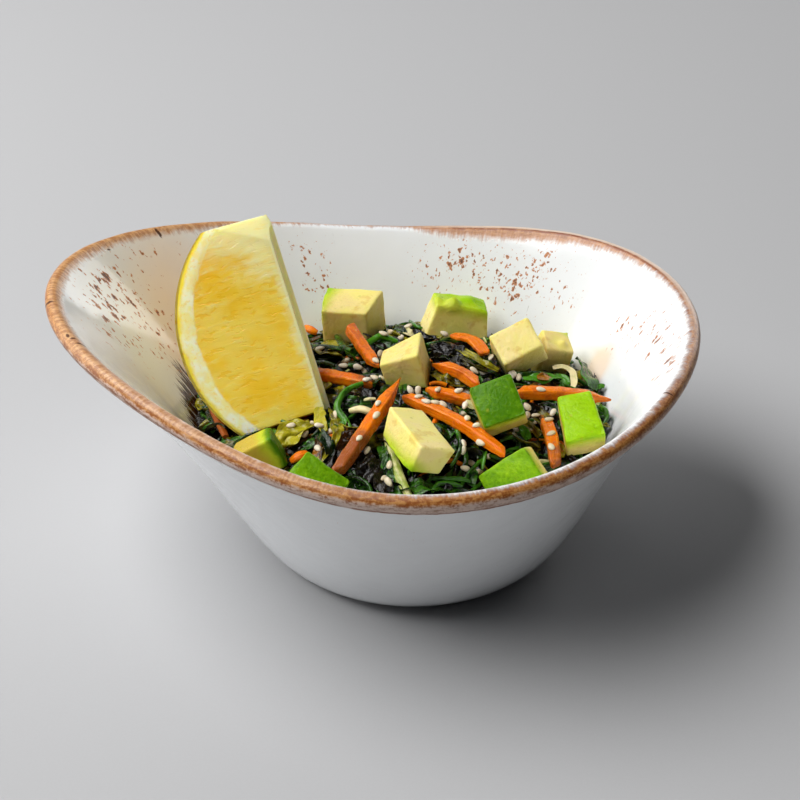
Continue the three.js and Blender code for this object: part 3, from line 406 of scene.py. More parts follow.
class StageSettings(bpy.types.PropertyGroup):
    """Camera, lights and floor."""
    lens: bpy.props.FloatProperty(name="Lens", description="Focal length", default=LENS,
                                  subtype="DISTANCE_CAMERA")
    key_power: bpy.props.FloatProperty(name="Key", description="Power of the large soft light", default=18.6,
                                       unit="POWER")
    key_width: length("Key width", "Width of the large soft light", 1.45, 0.01, 10)
    key_height: length("Key height", "Height of the large soft light", 0.75, 0.01, 10)
    low_power: bpy.props.FloatProperty(name="Low lights", description="Power of the low light at the left",
                                       default=7.5, unit="POWER")
    ambient: bpy.props.FloatProperty(name="Ambient", description="Strength of the light all round",
                                     default=0.016)
    floor: colour("Floor", "Colour of the floor", (0.50, 0.50, 0.506))


class SaladBowlSettings(bpy.types.PropertyGroup):
    """All the settings, as the scene holds them."""
    bowl: bpy.props.PointerProperty(type=BowlSettings)
    salad: bpy.props.PointerProperty(type=SaladSettings)
    toppings: bpy.props.PointerProperty(type=ToppingSettings)
    stage: bpy.props.PointerProperty(type=StageSettings)


# ---------------------------------------------------------------- meshes
class Shape:
    """Points in millimetres with four-sided and three-sided faces, and named values for each point."""

    def __init__(self, points, quads, triangles=None, **layers):
        self.points = np.asarray(points, float)
        self.quads = np.asarray(quads, int).reshape(-1, 4)
        self.triangles = np.zeros((0, 3), int) if triangles is None else triangles
        self.layers = {name: np.asarray(values, float) for name, values in layers.items()}

    def outwards(self):
        """Turns every face round when the volume under all the faces comes out negative."""
        fans = np.concatenate([self.quads[:, :3], self.quads[:, [0, 2, 3]], self.triangles])
        a, b, c = (self.points[fans[:, k]] for k in range(3))
        if np.einsum("ij,ij->", a, np.cross(b, c)) < 0:
            self.quads, self.triangles = self.quads[:, ::-1], self.triangles[:, ::-1]
        return self


def joined(shapes):
    """One shape of many: points in a row, face numbers moved on by the points before them."""
    starts = np.cumsum([0] + [len(shape.points) for shape in shapes[:-1]])
    return Shape(
        np.concatenate([shape.points for shape in shapes]),
        np.concatenate([shape.quads + start for shape, start in zip(shapes, starts)]),
        np.concatenate([shape.triangles + start for shape, start in zip(shapes, starts)]),
        **{name: np.concatenate([shape.layers[name] for shape in shapes]) for name in shapes[0].layers},
    )


def ring_skin(rings, **layers):
    """Closed skin over a grid of rings: a quad between each point, its neighbour in the ring and
    the two below, and a fan over each end ring to the mean of its points. A layer has a value for
    each grid point, and its means at the two ends."""
    count, around = rings.shape[:2]
    ring, step = np.meshgrid(np.arange(count - 1) * around, np.arange(around), indexing="ij")
    after = (step + 1) % around
    quads = np.stack([ring + step, ring + after, ring + after + around, ring + step + around], -1)
    step, after = np.arange(around), (np.arange(around) + 1) % around
    last, poles = (count - 1) * around, count * around
    fans = np.concatenate([
        np.stack([np.full(around, poles), after, step], -1),
        np.stack([np.full(around, poles + 1), last + step, last + after], -1),
    ])

    def flat(values):
        width = values.shape[2:]
        return np.concatenate([values.reshape(-1, *width), values[[0, -1]].mean(axis=1)])

    return Shape(flat(rings), quads, fans, **{name: flat(v) for name, v in layers.items()}).outwards()


def block_skin(counts):
    """Skin of a unit block cut into counts cells along each axis: the grid points of its six faces,
    each once, as shares from 0 to 1, and the quads between them."""
    sizes = np.array(counts) + 1
    faces = []
    for axis in range(3):
        u, v = [k for k in range(3) if k != axis]
        i, j = np.meshgrid(np.arange(counts[u]), np.arange(counts[v]), indexing="ij")
        for end in (0, counts[axis]):
            corners = []
            for du, dv in ((0, 0), (1, 0), (1, 1), (0, 1)):
                place = np.full(i.shape + (3,), end)
                place[..., u], place[..., v] = i + du, j + dv
                corners.append(place @ [sizes[1] * sizes[2], sizes[2], 1])
            quad = np.stack(corners, -1).reshape(-1, 4)
            faces.append(quad[:, ::-1] if (end == 0) != (axis == 1) else quad)
    used, quads = np.unique(np.concatenate(faces), return_inverse=True)
    return np.stack(np.unravel_index(used, sizes), -1) / np.array(counts), quads.reshape(-1, 4)


def make_piece(name, shape, material, nodes, sharp=50):
    """Puts a shape into a mesh object in metres that rides on the body and replaces its nodes. Edges
    turned by more than the sharp angle, in degrees, are shaded sharp."""
    mesh = bpy.data.meshes.new(name)
    mesh.vertices.add(len(shape.points))
    mesh.vertices.foreach_set("co", (shape.points * MM).astype(np.float32).ravel())
    sizes = np.concatenate([np.full(len(shape.quads), 4), np.full(len(shape.triangles), 3)])
    corners = np.concatenate([shape.quads.ravel(), shape.triangles.ravel()])
    mesh.loops.add(len(corners))
    mesh.loops.foreach_set("vertex_index", corners.astype(np.int32))
    mesh.polygons.add(len(sizes))
    starts = np.concatenate([[0], np.cumsum(sizes)[:-1]])
    mesh.polygons.foreach_set("loop_start", starts.astype(np.int32))
    mesh.polygons.foreach_set("loop_total", sizes.astype(np.int32))
    mesh.polygons.foreach_set("use_smooth", np.ones(len(sizes), bool))
    for layer, values in shape.layers.items():
        kind, field = ("FLOAT", "value") if values.ndim == 1 else ("FLOAT_VECTOR", "vector")
        attribute = mesh.attributes.new(layer, kind, "POINT")
        attribute.data.foreach_set(field, values.astype(np.float32).ravel())
    mesh.update(calc_edges=True)
    mesh.validate()
    mesh.set_sharp_from_angle(angle=math.radians(sharp))
    mesh.materials.append(material)
    piece = bpy.data.objects.new(name, mesh)
    bpy.context.scene.collection.objects.link(piece)
    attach(piece, "root")
    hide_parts(*nodes)
    return piece


def ease(value, low, high):
    """Smooth step from 0 at low to 1 at high."""
    share = np.clip((value - low) / (high - low), 0, 1)
    return share * share * (3 - 2 * share)


def ripples(points, size, phase=0.0):
    """Sum of three crossing sine waves through space, each shorter and lower than the last."""
    x, y, z = np.moveaxis(np.asarray(points) / size, -1, 0)
    return (np.sin(x + 1.3 * y + phase) * np.cos(1.1 * z - 0.6 * x + 2 * phase)
            + 0.5 * np.sin(2.3 * y - 1.7 * z + 1.9 * x + 3 * phase)
            + 0.25 * np.sin(4.1 * x + 3.3 * z - 2.9 * y + 5 * phase)) / 1.75


# ---------------------------------------------------------------- paths
def smooth_path(points, count):
    """Curve through the points at even steps of length. Between two points it is the cubic whose
    end slopes are half the vectors between their neighbours."""
    points = np.asarray(points, float)
    full = np.concatenate([[2 * points[0] - points[1]], points, [2 * points[-1] - points[-2]]])
    at = np.linspace(0, len(points) - 1 - 1e-9, 12 * len(points))
    span, t = np.floor(at).astype(int), (at % 1)[:, None]
    a, b, c, d = (full[span + k] for k in range(4))
    square, cube = 2 * a - 5 * b + 4 * c - d, 3 * b - a - 3 * c + d
    curve = 0.5 * (2 * b + (c - a) * t + square * t ** 2 + cube * t ** 3)
    run = np.concatenate([[0], np.cumsum(np.linalg.norm(np.diff(curve, axis=0), axis=1))])
    even = np.linspace(0, run[-1], count)
    return np.stack([np.interp(even, run, curve[:, k]) for k in range(3)], -1), run[-1]


def path_frame(path, roll=0.0):
    """Unit vectors along, across and above a path: across is level, then both are rolled about
    the path."""
    ahead = np.gradient(path, axis=0)
    ahead /= np.linalg.norm(ahead, axis=1, keepdims=True)
    side = np.cross([0, 0, 1.0], ahead)
    side /= np.maximum(np.linalg.norm(side, axis=1, keepdims=True), 1e-6)
    above = np.cross(ahead, side)
    roll = np.broadcast_to(roll, len(path))[:, None]
    return ahead, np.cos(roll) * side + np.sin(roll) * above, np.cos(roll) * above - np.sin(roll) * side


def band_shape(points, width, thickness, steps, around, roll=0.0, ripple=0.0, cup=0.0, phase=0.0,
               taper=0.45, tone=0.5, twist=0.0):
    """Strand or leaf along a path. Each ring is an ellipse of the width and thickness; the width
    swells as a sine from its share at the ends, the edges rise and fall along the path by the
    ripple, and the middle is cupped by a square law. The roll and the twist turn it about the path."""
    path, run = smooth_path(points, steps + 1)
    share = np.linspace(0, 1, steps + 1)
    _, side, above = path_frame(path, roll + twist * (share - 0.5))
    turn = 2 * np.pi * np.arange(around) / around
    across, lift = np.cos(turn)[None, :], np.sin(turn)[None, :]
    full = (taper + (1 - taper) * np.sin(np.pi * (0.04 + 0.92 * share)) ** 0.6)[:, None]
    along = (share * run)[:, None]
    wavy = ripple * np.abs(across) ** 1.4 * np.sin(along * 0.62 + 1.6 * across + phase)
    wavy = wavy + 0.4 * ripple * np.sin(along * 1.37 + 2.2 * across + 2 * phase) + cup * across ** 2
    edge = 1 + 0.10 * np.sin(along * 1.1 + 2.0 * np.sign(across) + phase) * (abs(ripple) > 0)
    rings = (path[:, None] + side[:, None] * (full * edge * width * across / 2)[..., None]
             + above[:, None] * (full * thickness * lift / 2 + wavy)[..., None])
    grain = np.stack(np.broadcast_arrays(along + 37 * phase, across * width / 2 + 11 * phase, lift), -1)
    return ring_skin(rings, tone=np.full(rings.shape[:2], tone), grain=grain)


# ---------------------------------------------------------------- materials
class Value:
    """A number, vector or colour in a shader, worked on with the usual signs of arithmetic."""

    def __init__(self, shader, socket):
        self.shader, self.socket = shader, socket

    def __add__(self, other):
        return self.shader.maths("ADD", self, other)

    def __sub__(self, other):
        return self.shader.maths("SUBTRACT", self, other)

    def __mul__(self, other):
        return self.shader.maths("MULTIPLY", self, other)

    def __pow__(self, other):
        return self.shader.maths("POWER", self, other)

    def __abs__(self):
        return self.shader.maths("ABSOLUTE", self, 0.0)


class Shader:
    """Nodes of one material, with short ways to add and join them."""

    def __init__(self, name, **constants):
        self.material = bpy.data.materials.new(name)
        self.material.use_nodes = True
        self.tree = self.material.node_tree
        self.surface = self.tree.nodes["Principled BSDF"]
        for socket, value in constants.items():
            self.surface.inputs[socket.replace("_", " ")].default_value = value

    def node(self, kind, values, output=0, **settings):
        """Adds a node, sets or joins its inputs, and gives one of its outputs."""
        node = self.tree.nodes.new(kind)
        for setting, value in settings.items():
            setattr(node, setting, value)
        for socket, value in values.items():
            if isinstance(value, Value):
                self.tree.links.new(value.socket, node.inputs[socket])
            else:
                node.inputs[socket].default_value = value
        return Value(self, node.outputs[output])

    def layer(self, name, vector=False):
        return self.node("ShaderNodeAttribute", {}, "Vector" if vector else "Fac", attribute_name=name)

    def place(self):
        """Object coordinates in millimetres."""
        return self.scaled(self.node("ShaderNodeTexCoord", {}, "Object"), (1 / MM,) * 3)

    def scaled(self, vector, factors):
        return self.node("ShaderNodeVectorMath", {0: vector, 1: factors}, operation="MULTIPLY")

    def noise(self, vector, scale, detail=3.0, roughness=0.55):
        return self.node("ShaderNodeTexNoise", {"Vector": vector, "Scale": scale, "Detail": detail,
                                                "Roughness": roughness})

    def wobble(self, vector, scale, amount):
        """A vector pushed about by three channels of noise, over a range of the amount each way."""
        push = self.node("ShaderNodeTexNoise", {"Vector": vector, "Scale": scale, "Detail": 3.0}, "Color")
        return self.node("ShaderNodeVectorMath", {0: push, 1: (amount,) * 3, 2: vector},
                         operation="MULTIPLY_ADD")

    def cells(self, vector, scale):
        """Distance to the nearest cell's centre, and that cell's own chance from 0 to 1."""
        near = self.node("ShaderNodeTexVoronoi", {"Vector": vector, "Scale": scale}, "Distance")
        tint = Value(self, near.socket.node.outputs["Color"])
        return near, self.node("ShaderNodeSeparateColor", {"Color": tint}, "Red")

    def maths(self, operation, a, b):
        return self.node("ShaderNodeMath", {0: a, 1: b}, operation=operation)

    def most(self, first, *others):
        """The largest of some values."""
        for other in others:
            first = self.maths("MAXIMUM", first, other)
        return first

    def remap(self, value, low, high, to_low=0.0, to_high=1.0):
        """Value eased from the range low to high to the range to_low to to_high."""
        return self.node("ShaderNodeMapRange", {"Value": value, "From Min": low, "From Max": high,
                                                "To Min": to_low, "To Max": to_high},
                         interpolation_type="SMOOTHSTEP")

    def line(self, value, at, width, share):
        """A line where the value is near a place: full in its middle, none past its width."""
        return self.remap(abs(value - at), width, 0.2 * width) * share

    def mix(self, share, a, b):
        def rgba(value):
            return value if isinstance(value, Value) else (*value, 1.0)
        return self.node("ShaderNodeMix", {0: share, 6: rgba(a), 7: rgba(b)}, 2, data_type="RGBA")

    def finish(self, colour, roughness=None, height=None, depth=0.2, shine=None):
        """Joins the colour, the roughness, a height in millimetres and the shine to the surface."""
        if height is not None:
            height = self.node("ShaderNodeBump", {"Height": height, "Strength": 1.0, "Distance": depth * MM})
        joins = {"Base Color": colour, "Roughness": roughness, "Normal": height, "Specular IOR Level": shine}
        for socket, value in joins.items():
            if value is not None:
                self.tree.links.new(value.socket, self.surface.inputs[socket])
        return self.material


def rim_browns(shader, settings, crest, inside, streaks, smears, grains):
    """Colours of the rim's band. Inside the crest it runs from a streaky tan to a mottled brown by
    its depth, with a dark inner edge where it is deep. Outside the crest come rust blotches drawn
    along the rim, then a dusty pink, then a dark line. Where the crest is bare, it is pale and a
    dark seam follows it."""
    depth, pink, bare = (shader.layer(name) for name in ("depth", "pink", "bare"))
    mottle = smears * 0.6 + grains * 0.4
    broken = shader.remap(smears, 0.38, 0.56, 0.35, 0.95)
    streaky = shader.remap(streaks + grains * 0.4, 0.60, 0.80)
    tan = shader.mix(streaky, settings.band_light, (0.46, 0.20, 0.07))
    brown = shader.mix(shader.remap(mottle, 0.40, 0.60), (0.52, 0.23, 0.07), (0.28, 0.085, 0.022))
    tan = shader.mix(depth, tan, brown)
    pinks = shader.mix(depth, (0.76, 0.52, 0.40), (0.58, 0.29, 0.165))
    tan = shader.mix(pink * shader.remap(inside, 3.6, 0.8), tan, pinks)
    edge = shader.most((depth - pink) * broken, 0.0)
    tan = shader.mix(shader.line(inside, 0.5, 0.8, edge), tan, (0.20, 0.055, 0.018))

    rust = shader.mix(shader.remap(mottle, 0.40, 0.60), (0.60, 0.28, 0.08), settings.band_dark)
    dusty = shader.mix(shader.remap(mottle, 0.44, 0.62), settings.band_pink, (0.40, 0.24, 0.17))
    rusty = crest + shader.layer("rust") + (mottle - 0.5) * 4.0
    browns = shader.mix(shader.remap(rusty, -0.5, 0.7), dusty, rust)
    browns = shader.mix(shader.line(crest + shader.layer("line"), 0.0, 0.75, broken), browns,
                        tuple(0.75 * part for part in settings.band_dark))
    browns = shader.mix(shader.remap(crest, -0.5, 0.9), browns, tan)
    crown = bare * shader.remap(abs(crest - 0.2), 2.2, 1.6, 0.0, 0.9)
    browns = shader.mix(crown, browns, (0.84, 0.70, 0.58))
    return shader.mix(shader.line(crest, 2.4, 0.8, bare * broken), browns, (0.25, 0.07, 0.025)), mottle


def fleck_reach(shader, grains):
    """How far a point lies within a fleck, from three sizes of cells. A fleck is the part of a cell
    nearer to its centre than a length that grows with the amount of flecks there and with the
    cell's own chance, in coordinates pushed about by noise so that no fleck is round."""
    spots, reach = shader.wobble(shader.layer("spots", True), 0.75, 2.6), -1.0
    rough = grains - 0.5
    for scale, size in ((0.25, 0.32), (0.42, 0.42), (0.72, 0.47)):
        near, chance = shader.cells(spots, scale)
        size = shader.layer("flecks") * size * chance ** 1.2
        reach = shader.most(reach, size - (near + rough * 0.4 + 0.03))
    return reach


def nick_marks(shader, rim):
    """Dark nicks: ellipsoids on the rim, in coordinates pushed about by noise."""
    pushed, marks = shader.wobble(rim, 0.9, 0.8), 0.0
    for bearing, down, wide, high in NICKS:
        angle = math.radians(bearing)
        middle = (RIM_CIRCLE * math.cos(angle) + 0.4, RIM_CIRCLE * math.sin(angle) + 0.4, down + 0.4)
        off = shader.node("ShaderNodeVectorMath", {0: pushed, 1: middle}, operation="SUBTRACT")
        off = shader.scaled(off, (1 / wide, 1 / wide, 1 / high))
        off = shader.node("ShaderNodeVectorMath", {0: off}, "Value", operation="LENGTH")
        marks = shader.most(marks, shader.remap(off, 1.15, 0.6, 0.0, 0.93))
    return marks


def glaze_material(settings):
    """White glaze with a painted reflection of the lemon beside it and one real orange smear, green
    smears, painted shade of the dark heap on the wall next to it, brown flecks, and a brown band over
    the lip with dark nicks. The band lies between its two reaches from the crest, the inner one
    softened and drawn in and out by streaks across the rim. The foot's underside is unglazed."""
    shader = Shader("glaze", IOR=1.5)
    rim, crest, place = shader.layer("rim", True), shader.layer("crest"), shader.place()
    streaks = shader.noise(shader.scaled(rim, (1.3, 1.3, 0.22)), 1.0, 4.0, 0.6)
    smears = shader.noise(shader.scaled(rim, (0.3, 0.3, 1.0)), 1.0, 4.0, 0.65)
    blots, grains = shader.noise(place, 0.33, 4.0, 0.65), shader.noise(place, 1.4, 3.0, 0.6)
    inside = shader.layer("band_in") + (streaks + blots - 1.0) * 3.0 - crest
    outside = crest + (shader.layer("band_out") + (smears - 0.5) * 1.4)
    band = shader.remap(inside, -0.9, 1.7) * shader.remap(outside, -0.15, 0.35)
    browns, mottle = rim_browns(shader, settings, crest, inside, streaks, smears, grains)

    reach = fleck_reach(shader, grains)
    fleck = shader.mix(shader.remap(reach, 0.03, 0.2), (0.55, 0.20, 0.06), settings.fleck)
    flecks = shader.remap(reach, -0.06, 0.03, 0.0, 0.93)
    white = shader.mix(shader.remap(shader.noise(place, 0.05, 3.0), 0.35, 0.7), settings.glaze,
                       tuple(0.97 * part for part in settings.glaze))
    # Painted reflection of the lemon on the glaze beside it, with one real orange smear.
    white = shader.mix(shader.layer("lemon_reflection_and_smear") * 0.45, white, (1.0, 0.62, 0.32))
    white = shader.mix(shader.layer("green_smear") * 0.4, white, (0.93, 0.91, 0.68))
    # Painted shade and reflection of the dark heap on the wall next to it.
    drawn = shader.noise(shader.scaled(rim, (1.1, 1.1, 0.1)), 1.0, 4.0, 0.7)
    heap_shade = shader.remap(shader.layer("heap_shade") + (drawn - 0.5) * 2.4, 0.45, 0.85)
    white = shader.mix(heap_shade, white, (0.07, 0.022, 0.004))
    colour = shader.mix(band, shader.mix(flecks, white, fleck), browns)
    nick, unglazed = nick_marks(shader, rim), shader.layer("unglazed")
    colour = shader.mix(nick, colour, (0.075, 0.026, 0.014))
    colour = shader.mix(unglazed, colour, (0.60, 0.53, 0.44))

    marks = shader.most(flecks, nick, unglazed)
    roughness = shader.remap(shader.most(band, marks), 0, 1, 0.13, 0.34)
    height = shader.noise(place, 0.12, 2.0) * 0.5 + band * mottle * -0.7
    return shader.finish(colour, roughness, height, 0.25, shader.remap(marks, 0.0, 1.0, 0.5, 0.12))


def seaweed_material(name, deep, light, gloss, folds=1.0):
    """Wet leaf: the colour runs from deep to light by the strand's own tone and by streaks along
    it, and the wet surface is broken up by small folds."""
    shader = Shader(name, IOR=1.42, Subsurface_Weight=0.1, Subsurface_Radius=(1.0, 1.0, 0.3),
                    Subsurface_Scale=0.001)
    grain, place = shader.layer("grain", True), shader.place()
    streaks = shader.noise(shader.scaled(grain, (0.14, 1.3, 0.5)), 1.0, 4.0, 0.6)
    blots = shader.noise(place, 0.32, 3.0)
    amount = shader.layer("tone") + (streaks + blots - 1.0) * 1.5
    colour = shader.mix(shader.remap(amount, 0.0, 1.0), deep, light)
    height = streaks + blots * 2.0 + shader.noise(place, 0.5, 1.0) * (1.5 * folds)
    return shader.finish(colour, shader.remap(streaks, 0.35, 0.7, gloss, gloss + 0.07), height, 0.3)


def avocado_material(settings):
    """Avocado: green under the skin side, turning to pale yellow within about six millimetres, with
    faint fibres and soft blots. The green is darker or lighter by the piece's own tone, and the
    yellow is darkened towards olive by the piece's painted shade."""
    shader = Shader("avocado", IOR=1.4, Subsurface_Weight=0.3, Subsurface_Radius=(1.0, 0.75, 0.12),
                    Subsurface_Scale=0.002, Specular_IOR_Level=0.22)
    place = shader.place()
    broad, fine = shader.noise(place, 0.16, 3.0), shader.noise(place, 0.9, 4.0, 0.6)
    under = shader.layer("skin") + (broad - 0.5) * 3.0
    tone = shader.layer("tone") + (broad + fine - 1.0) * 0.7
    lime = shader.mix(shader.remap(tone, 0.0, 1.0), settings.skin_side, (0.36, 0.64, 0.004))
    green = shader.mix(shader.remap(under, 0.5, 2.6), lime, (0.55, 0.66, 0.03))
    clouds = shader.remap(shader.noise(place, 0.11, 2.0), 0.42, 0.66)
    yellow = shader.mix(clouds, settings.flesh, (0.97, 0.79, 0.32))
    # Painted shade: the whole piece's yellow darkened towards olive where shade falls on it.
    yellow = shader.mix(shader.layer("dice_shade"), yellow, (0.52, 0.36, 0.012))
    flesh = shader.remap(under, 1.4, 6.0)
    near, chance = shader.cells(shader.scaled(place, (1, 1, 0.6)), 0.4)
    fibres = shader.remap(near, 0.26, 0.08) * shader.remap(chance, 0.6, 0.85)
    colour = shader.mix(fibres * 0.4, shader.mix(flesh, green, yellow), (0.46, 0.44, 0.02))
    bruise = shader.remap(shader.noise(place, 0.21, 3.0), 0.58, 0.70)
    colour = shader.mix(bruise * flesh * 0.4, colour, (0.66, 0.38, 0.04))
    return shader.finish(colour, shader.remap(fine, 0.3, 0.7, 0.26, 0.42), fine + broad * 0.5, 0.28)


def carrot_material(settings):
    """Carrot: fibres along the stick, darker blots, and brown dressing towards the sauced end; on
    the shreds with a tone above one the same brown is painted shade.
    """
    shader = Shader("carrot", IOR=1.36, Subsurface_Weight=0.2, Subsurface_Radius=(1.0, 0.35, 0.05),
                    Subsurface_Scale=0.0015)
    fibres = shader.noise(shader.scaled(shader.layer("grain", True), (0.1, 1.6, 1.6)), 1.0, 4.0, 0.6)
    colour = shader.mix(shader.remap(fibres, 0.36, 0.66), settings.carrot, (0.95, 0.27, 0.006))
    blots = shader.noise(shader.place(), 0.35, 3.0)
    colour = shader.mix(shader.remap(blots, 0.52, 0.66, 0.0, 0.6), colour, (0.55, 0.085, 0.002))
    # Sauce brown towards a stick's sauced end; on the shreds with a tone above one it is painted shade.
    sauced = shader.remap(shader.layer("tone") + (blots - 0.5) * 0.9, 0.35, 0.8)
    colour = shader.mix(sauced * 0.85, colour, (0.25, 0.062, 0.016))
    return shader.finish(colour, shader.remap(blots, 0.3, 0.7, 0.12, 0.4), fibres + blots * 0.8, 0.35)


def lemon_material(settings):
    """Lemon: rind, pith and flesh by the depth under the rind. The flesh is a clear yellow with short
    darker dashes and pale threads drawn out from the core to the rind, paler by the core and at the
    upper end, and palest on the face at the core, which is painted light standing in for light shining
    through the wedge. The pith has gold specks, and the rind round pores."""
    shader = Shader("lemon", IOR=1.36, Subsurface_Weight=0.75, Subsurface_Radius=(1.0, 0.75, 0.2),
                    Subsurface_Scale=0.007)
    cut, peel, place = shader.layer("cut", True), shader.layer("peel"), shader.place()
    depth = peel + (shader.noise(place, 0.16, 4.0) - 0.5) * 2.6
    sacs = shader.wobble(cut, 0.22, 3.0)
    dashes = shader.noise(shader.scaled(sacs, (0.30, 0.9, 1.15)), 1.0, 1.5, 0.4)
    threads = shader.noise(shader.scaled(sacs, (0.10, 0.4, 0.7)), 1.0, 4.0, 0.6)
    broad = shader.noise(shader.scaled(cut, (0.07, 0.1, 0.08)), 1.0, 3.0)
    pulp = shader.mix(shader.remap(broad, 0.35, 0.62), (1.0, 0.62, 0.035), settings.pulp)
    pulp = shader.mix(shader.remap(dashes, 0.58, 0.63, 0.0, 0.55), pulp, (0.94, 0.55, 0.012))
    pulp = shader.mix(shader.remap(threads, 0.54, 0.74, 0.0, 0.45), pulp, (1.0, 0.80, 0.26))
    # Paler by the core and towards the upper end; the face at the core is painted light for light shining
    # through.
    pale_and_painted_light = shader.layer("pale_and_painted_light") + (threads + broad - 1.0) * 1.2
    pulp = shader.mix(shader.remap(pale_and_painted_light, 0.2, 1.1, 0.0, 0.9), pulp, (1.0, 0.88, 0.46))
    clouds = shader.remap(shader.noise(place, 0.3, 3.0), 0.35, 0.6)
    specks = shader.remap(shader.noise(place, 0.9, 3.0, 0.6), 0.56, 0.66, 0.0, 0.5)
    pith = shader.mix(specks, shader.mix(clouds, (1.0, 0.84, 0.36), (1.0, 0.95, 0.70)), (1.0, 0.68, 0.14))
    pores, _ = shader.cells(place, 0.46)
    rind = shader.mix(shader.remap(pores, 0.06, 0.34), (1.0, 0.60, 0.02), settings.rind)
    flesh = shader.remap(depth, settings.pith / MM - 0.6, settings.pith / MM + 0.4)
    colour = shader.mix(flesh, shader.mix(shader.remap(depth, 1.0, 2.4), rind, pith), pulp)
    pits = shader.remap(pores, 0.05, 0.45, 0.0, 0.6) * shader.remap(peel, 0.9, 0.3)
    grooves = threads * 0.8 - shader.remap(dashes, 0.55, 0.66, 0.0, 0.25)
    return shader.finish(colour, shader.remap(flesh, 0, 1, 0.4, 0.2), shader.mix(flesh, pits, grooves), 0.13)


def sesame_material(settings):
    """Sesame: ivory with a warmer tip, each seed with its own tone."""
    shader = Shader("sesame", IOR=1.45, Subsurface_Weight=0.15, Subsurface_Radius=(1.0, 0.8, 0.5),
                    Subsurface_Scale=0.0006)
    place = shader.place()
    colour = shader.mix(shader.layer("tone"), settings.sesame, (0.84, 0.77, 0.62))
    colour = shader.mix(shader.remap(shader.layer("tip"), 0.5, 1.0, 0.0, 0.5), colour, (0.46, 0.29, 0.12))
    return shader.finish(colour, shader.remap(shader.noise(place, 0.8), 0.3, 0.7, 0.3, 0.45),
                         shader.noise(place, 1.5, 3.0), 0.12)


def floor_material(settings):
    """Matt paper with faint clouds."""
    shader = Shader("floor_paper", IOR=1.4, Roughness=0.9, Specular_IOR_Level=0.15)
    clouds = shader.remap(shader.noise(shader.place(), 1.4, 3.0), 0.3, 0.7)
    return shader.finish(shader.mix(clouds, settings.floor, tuple(part * 0.985 for part in settings.floor)))


# ---------------------------------------------------------------- bowl
def wave(form, angle):
    """A mean plus cosine and sine waves of one, two, three turns and so on round the bowl."""
    mean, cosines, sines = form
    return (mean + sum(size * np.cos((i + 1) * angle) for i, size in enumerate(cosines))
            + sum(size * np.sin((i + 1) * angle) for i, size in enumerate(sines)))


def wall_curve(settings, angle, along, depth):
    """Radius and height of the wall: a cubic curve from the foot's edge, level at first, up to the
    lip, where it leans out by the rim's slope, moved in along its own normal by the depth."""
    wall = settings.wall / MM
    foot, roll = settings.foot_radius / MM, settings.foot_roll / MM
    slope = wave(RIM_SLOPE, angle)
    up = np.stack([np.cos(slope), np.sin(slope)], -1)
    lip = np.stack([wave(RIM_RADIUS, angle), wave(RIM_HEIGHT, angle)], -1) - wall / 2
    end = lip + np.stack([up[..., 1], -up[..., 0]], -1) * wall / 2
    start = np.broadcast_to([foot, 0.0], end.shape)
    turn = np.broadcast_to([foot + roll, 0.0], end.shape)
    lean = end - up * wave(FLARE_LENGTH, angle)[..., None]
    t = along[..., None]
    u = 1 - t
    point = u ** 3 * start + 3 * t * u ** 2 * turn + 3 * t * t * u * lean + t ** 3 * end
    slopes = u ** 2 * (turn - start) + 2 * t * u * (lean - turn) + t * t * (end - lean)
    slopes = slopes / np.linalg.norm(slopes, axis=-1, keepdims=True)
    return point + depth * np.stack([-slopes[..., 1], slopes[..., 0]], -1)


def inner_radius(settings, angle, height, depth):
    """Radius inside the wall at a height: the wall's curve is read off at each whole millimetre of
    height and each third degree round the bowl, and the nearest of these is taken."""
    step, top, stations = 3, 60, 60
    bearings = np.radians(np.arange(0, 360, step))
    grid = wall_curve(settings, *np.broadcast_arrays(bearings[:, None], np.linspace(0, 1, stations)), depth)
    table = np.stack([np.interp(np.arange(top + 1), row[:, 1], row[:, 0]) for row in grid])
    nearest = np.round(np.degrees(angle) / step).astype(int) % len(table)
    return table[nearest, np.clip(np.round(height).astype(int), 0, top)]


def painted(groups, angle, crest):
    """Sum of soft round patches, each a bell curve over bearing and distance from the crest."""
    degrees = np.degrees(angle)
    total = np.zeros(np.broadcast(angle, crest).shape)
    for bearing, down, wide, high, amount in groups:
        off = (degrees - bearing + 180) % 360 - 180
        total = total + amount * np.exp(-0.5 * ((off / wide) ** 2 + ((crest - down) / high) ** 2))
    return total


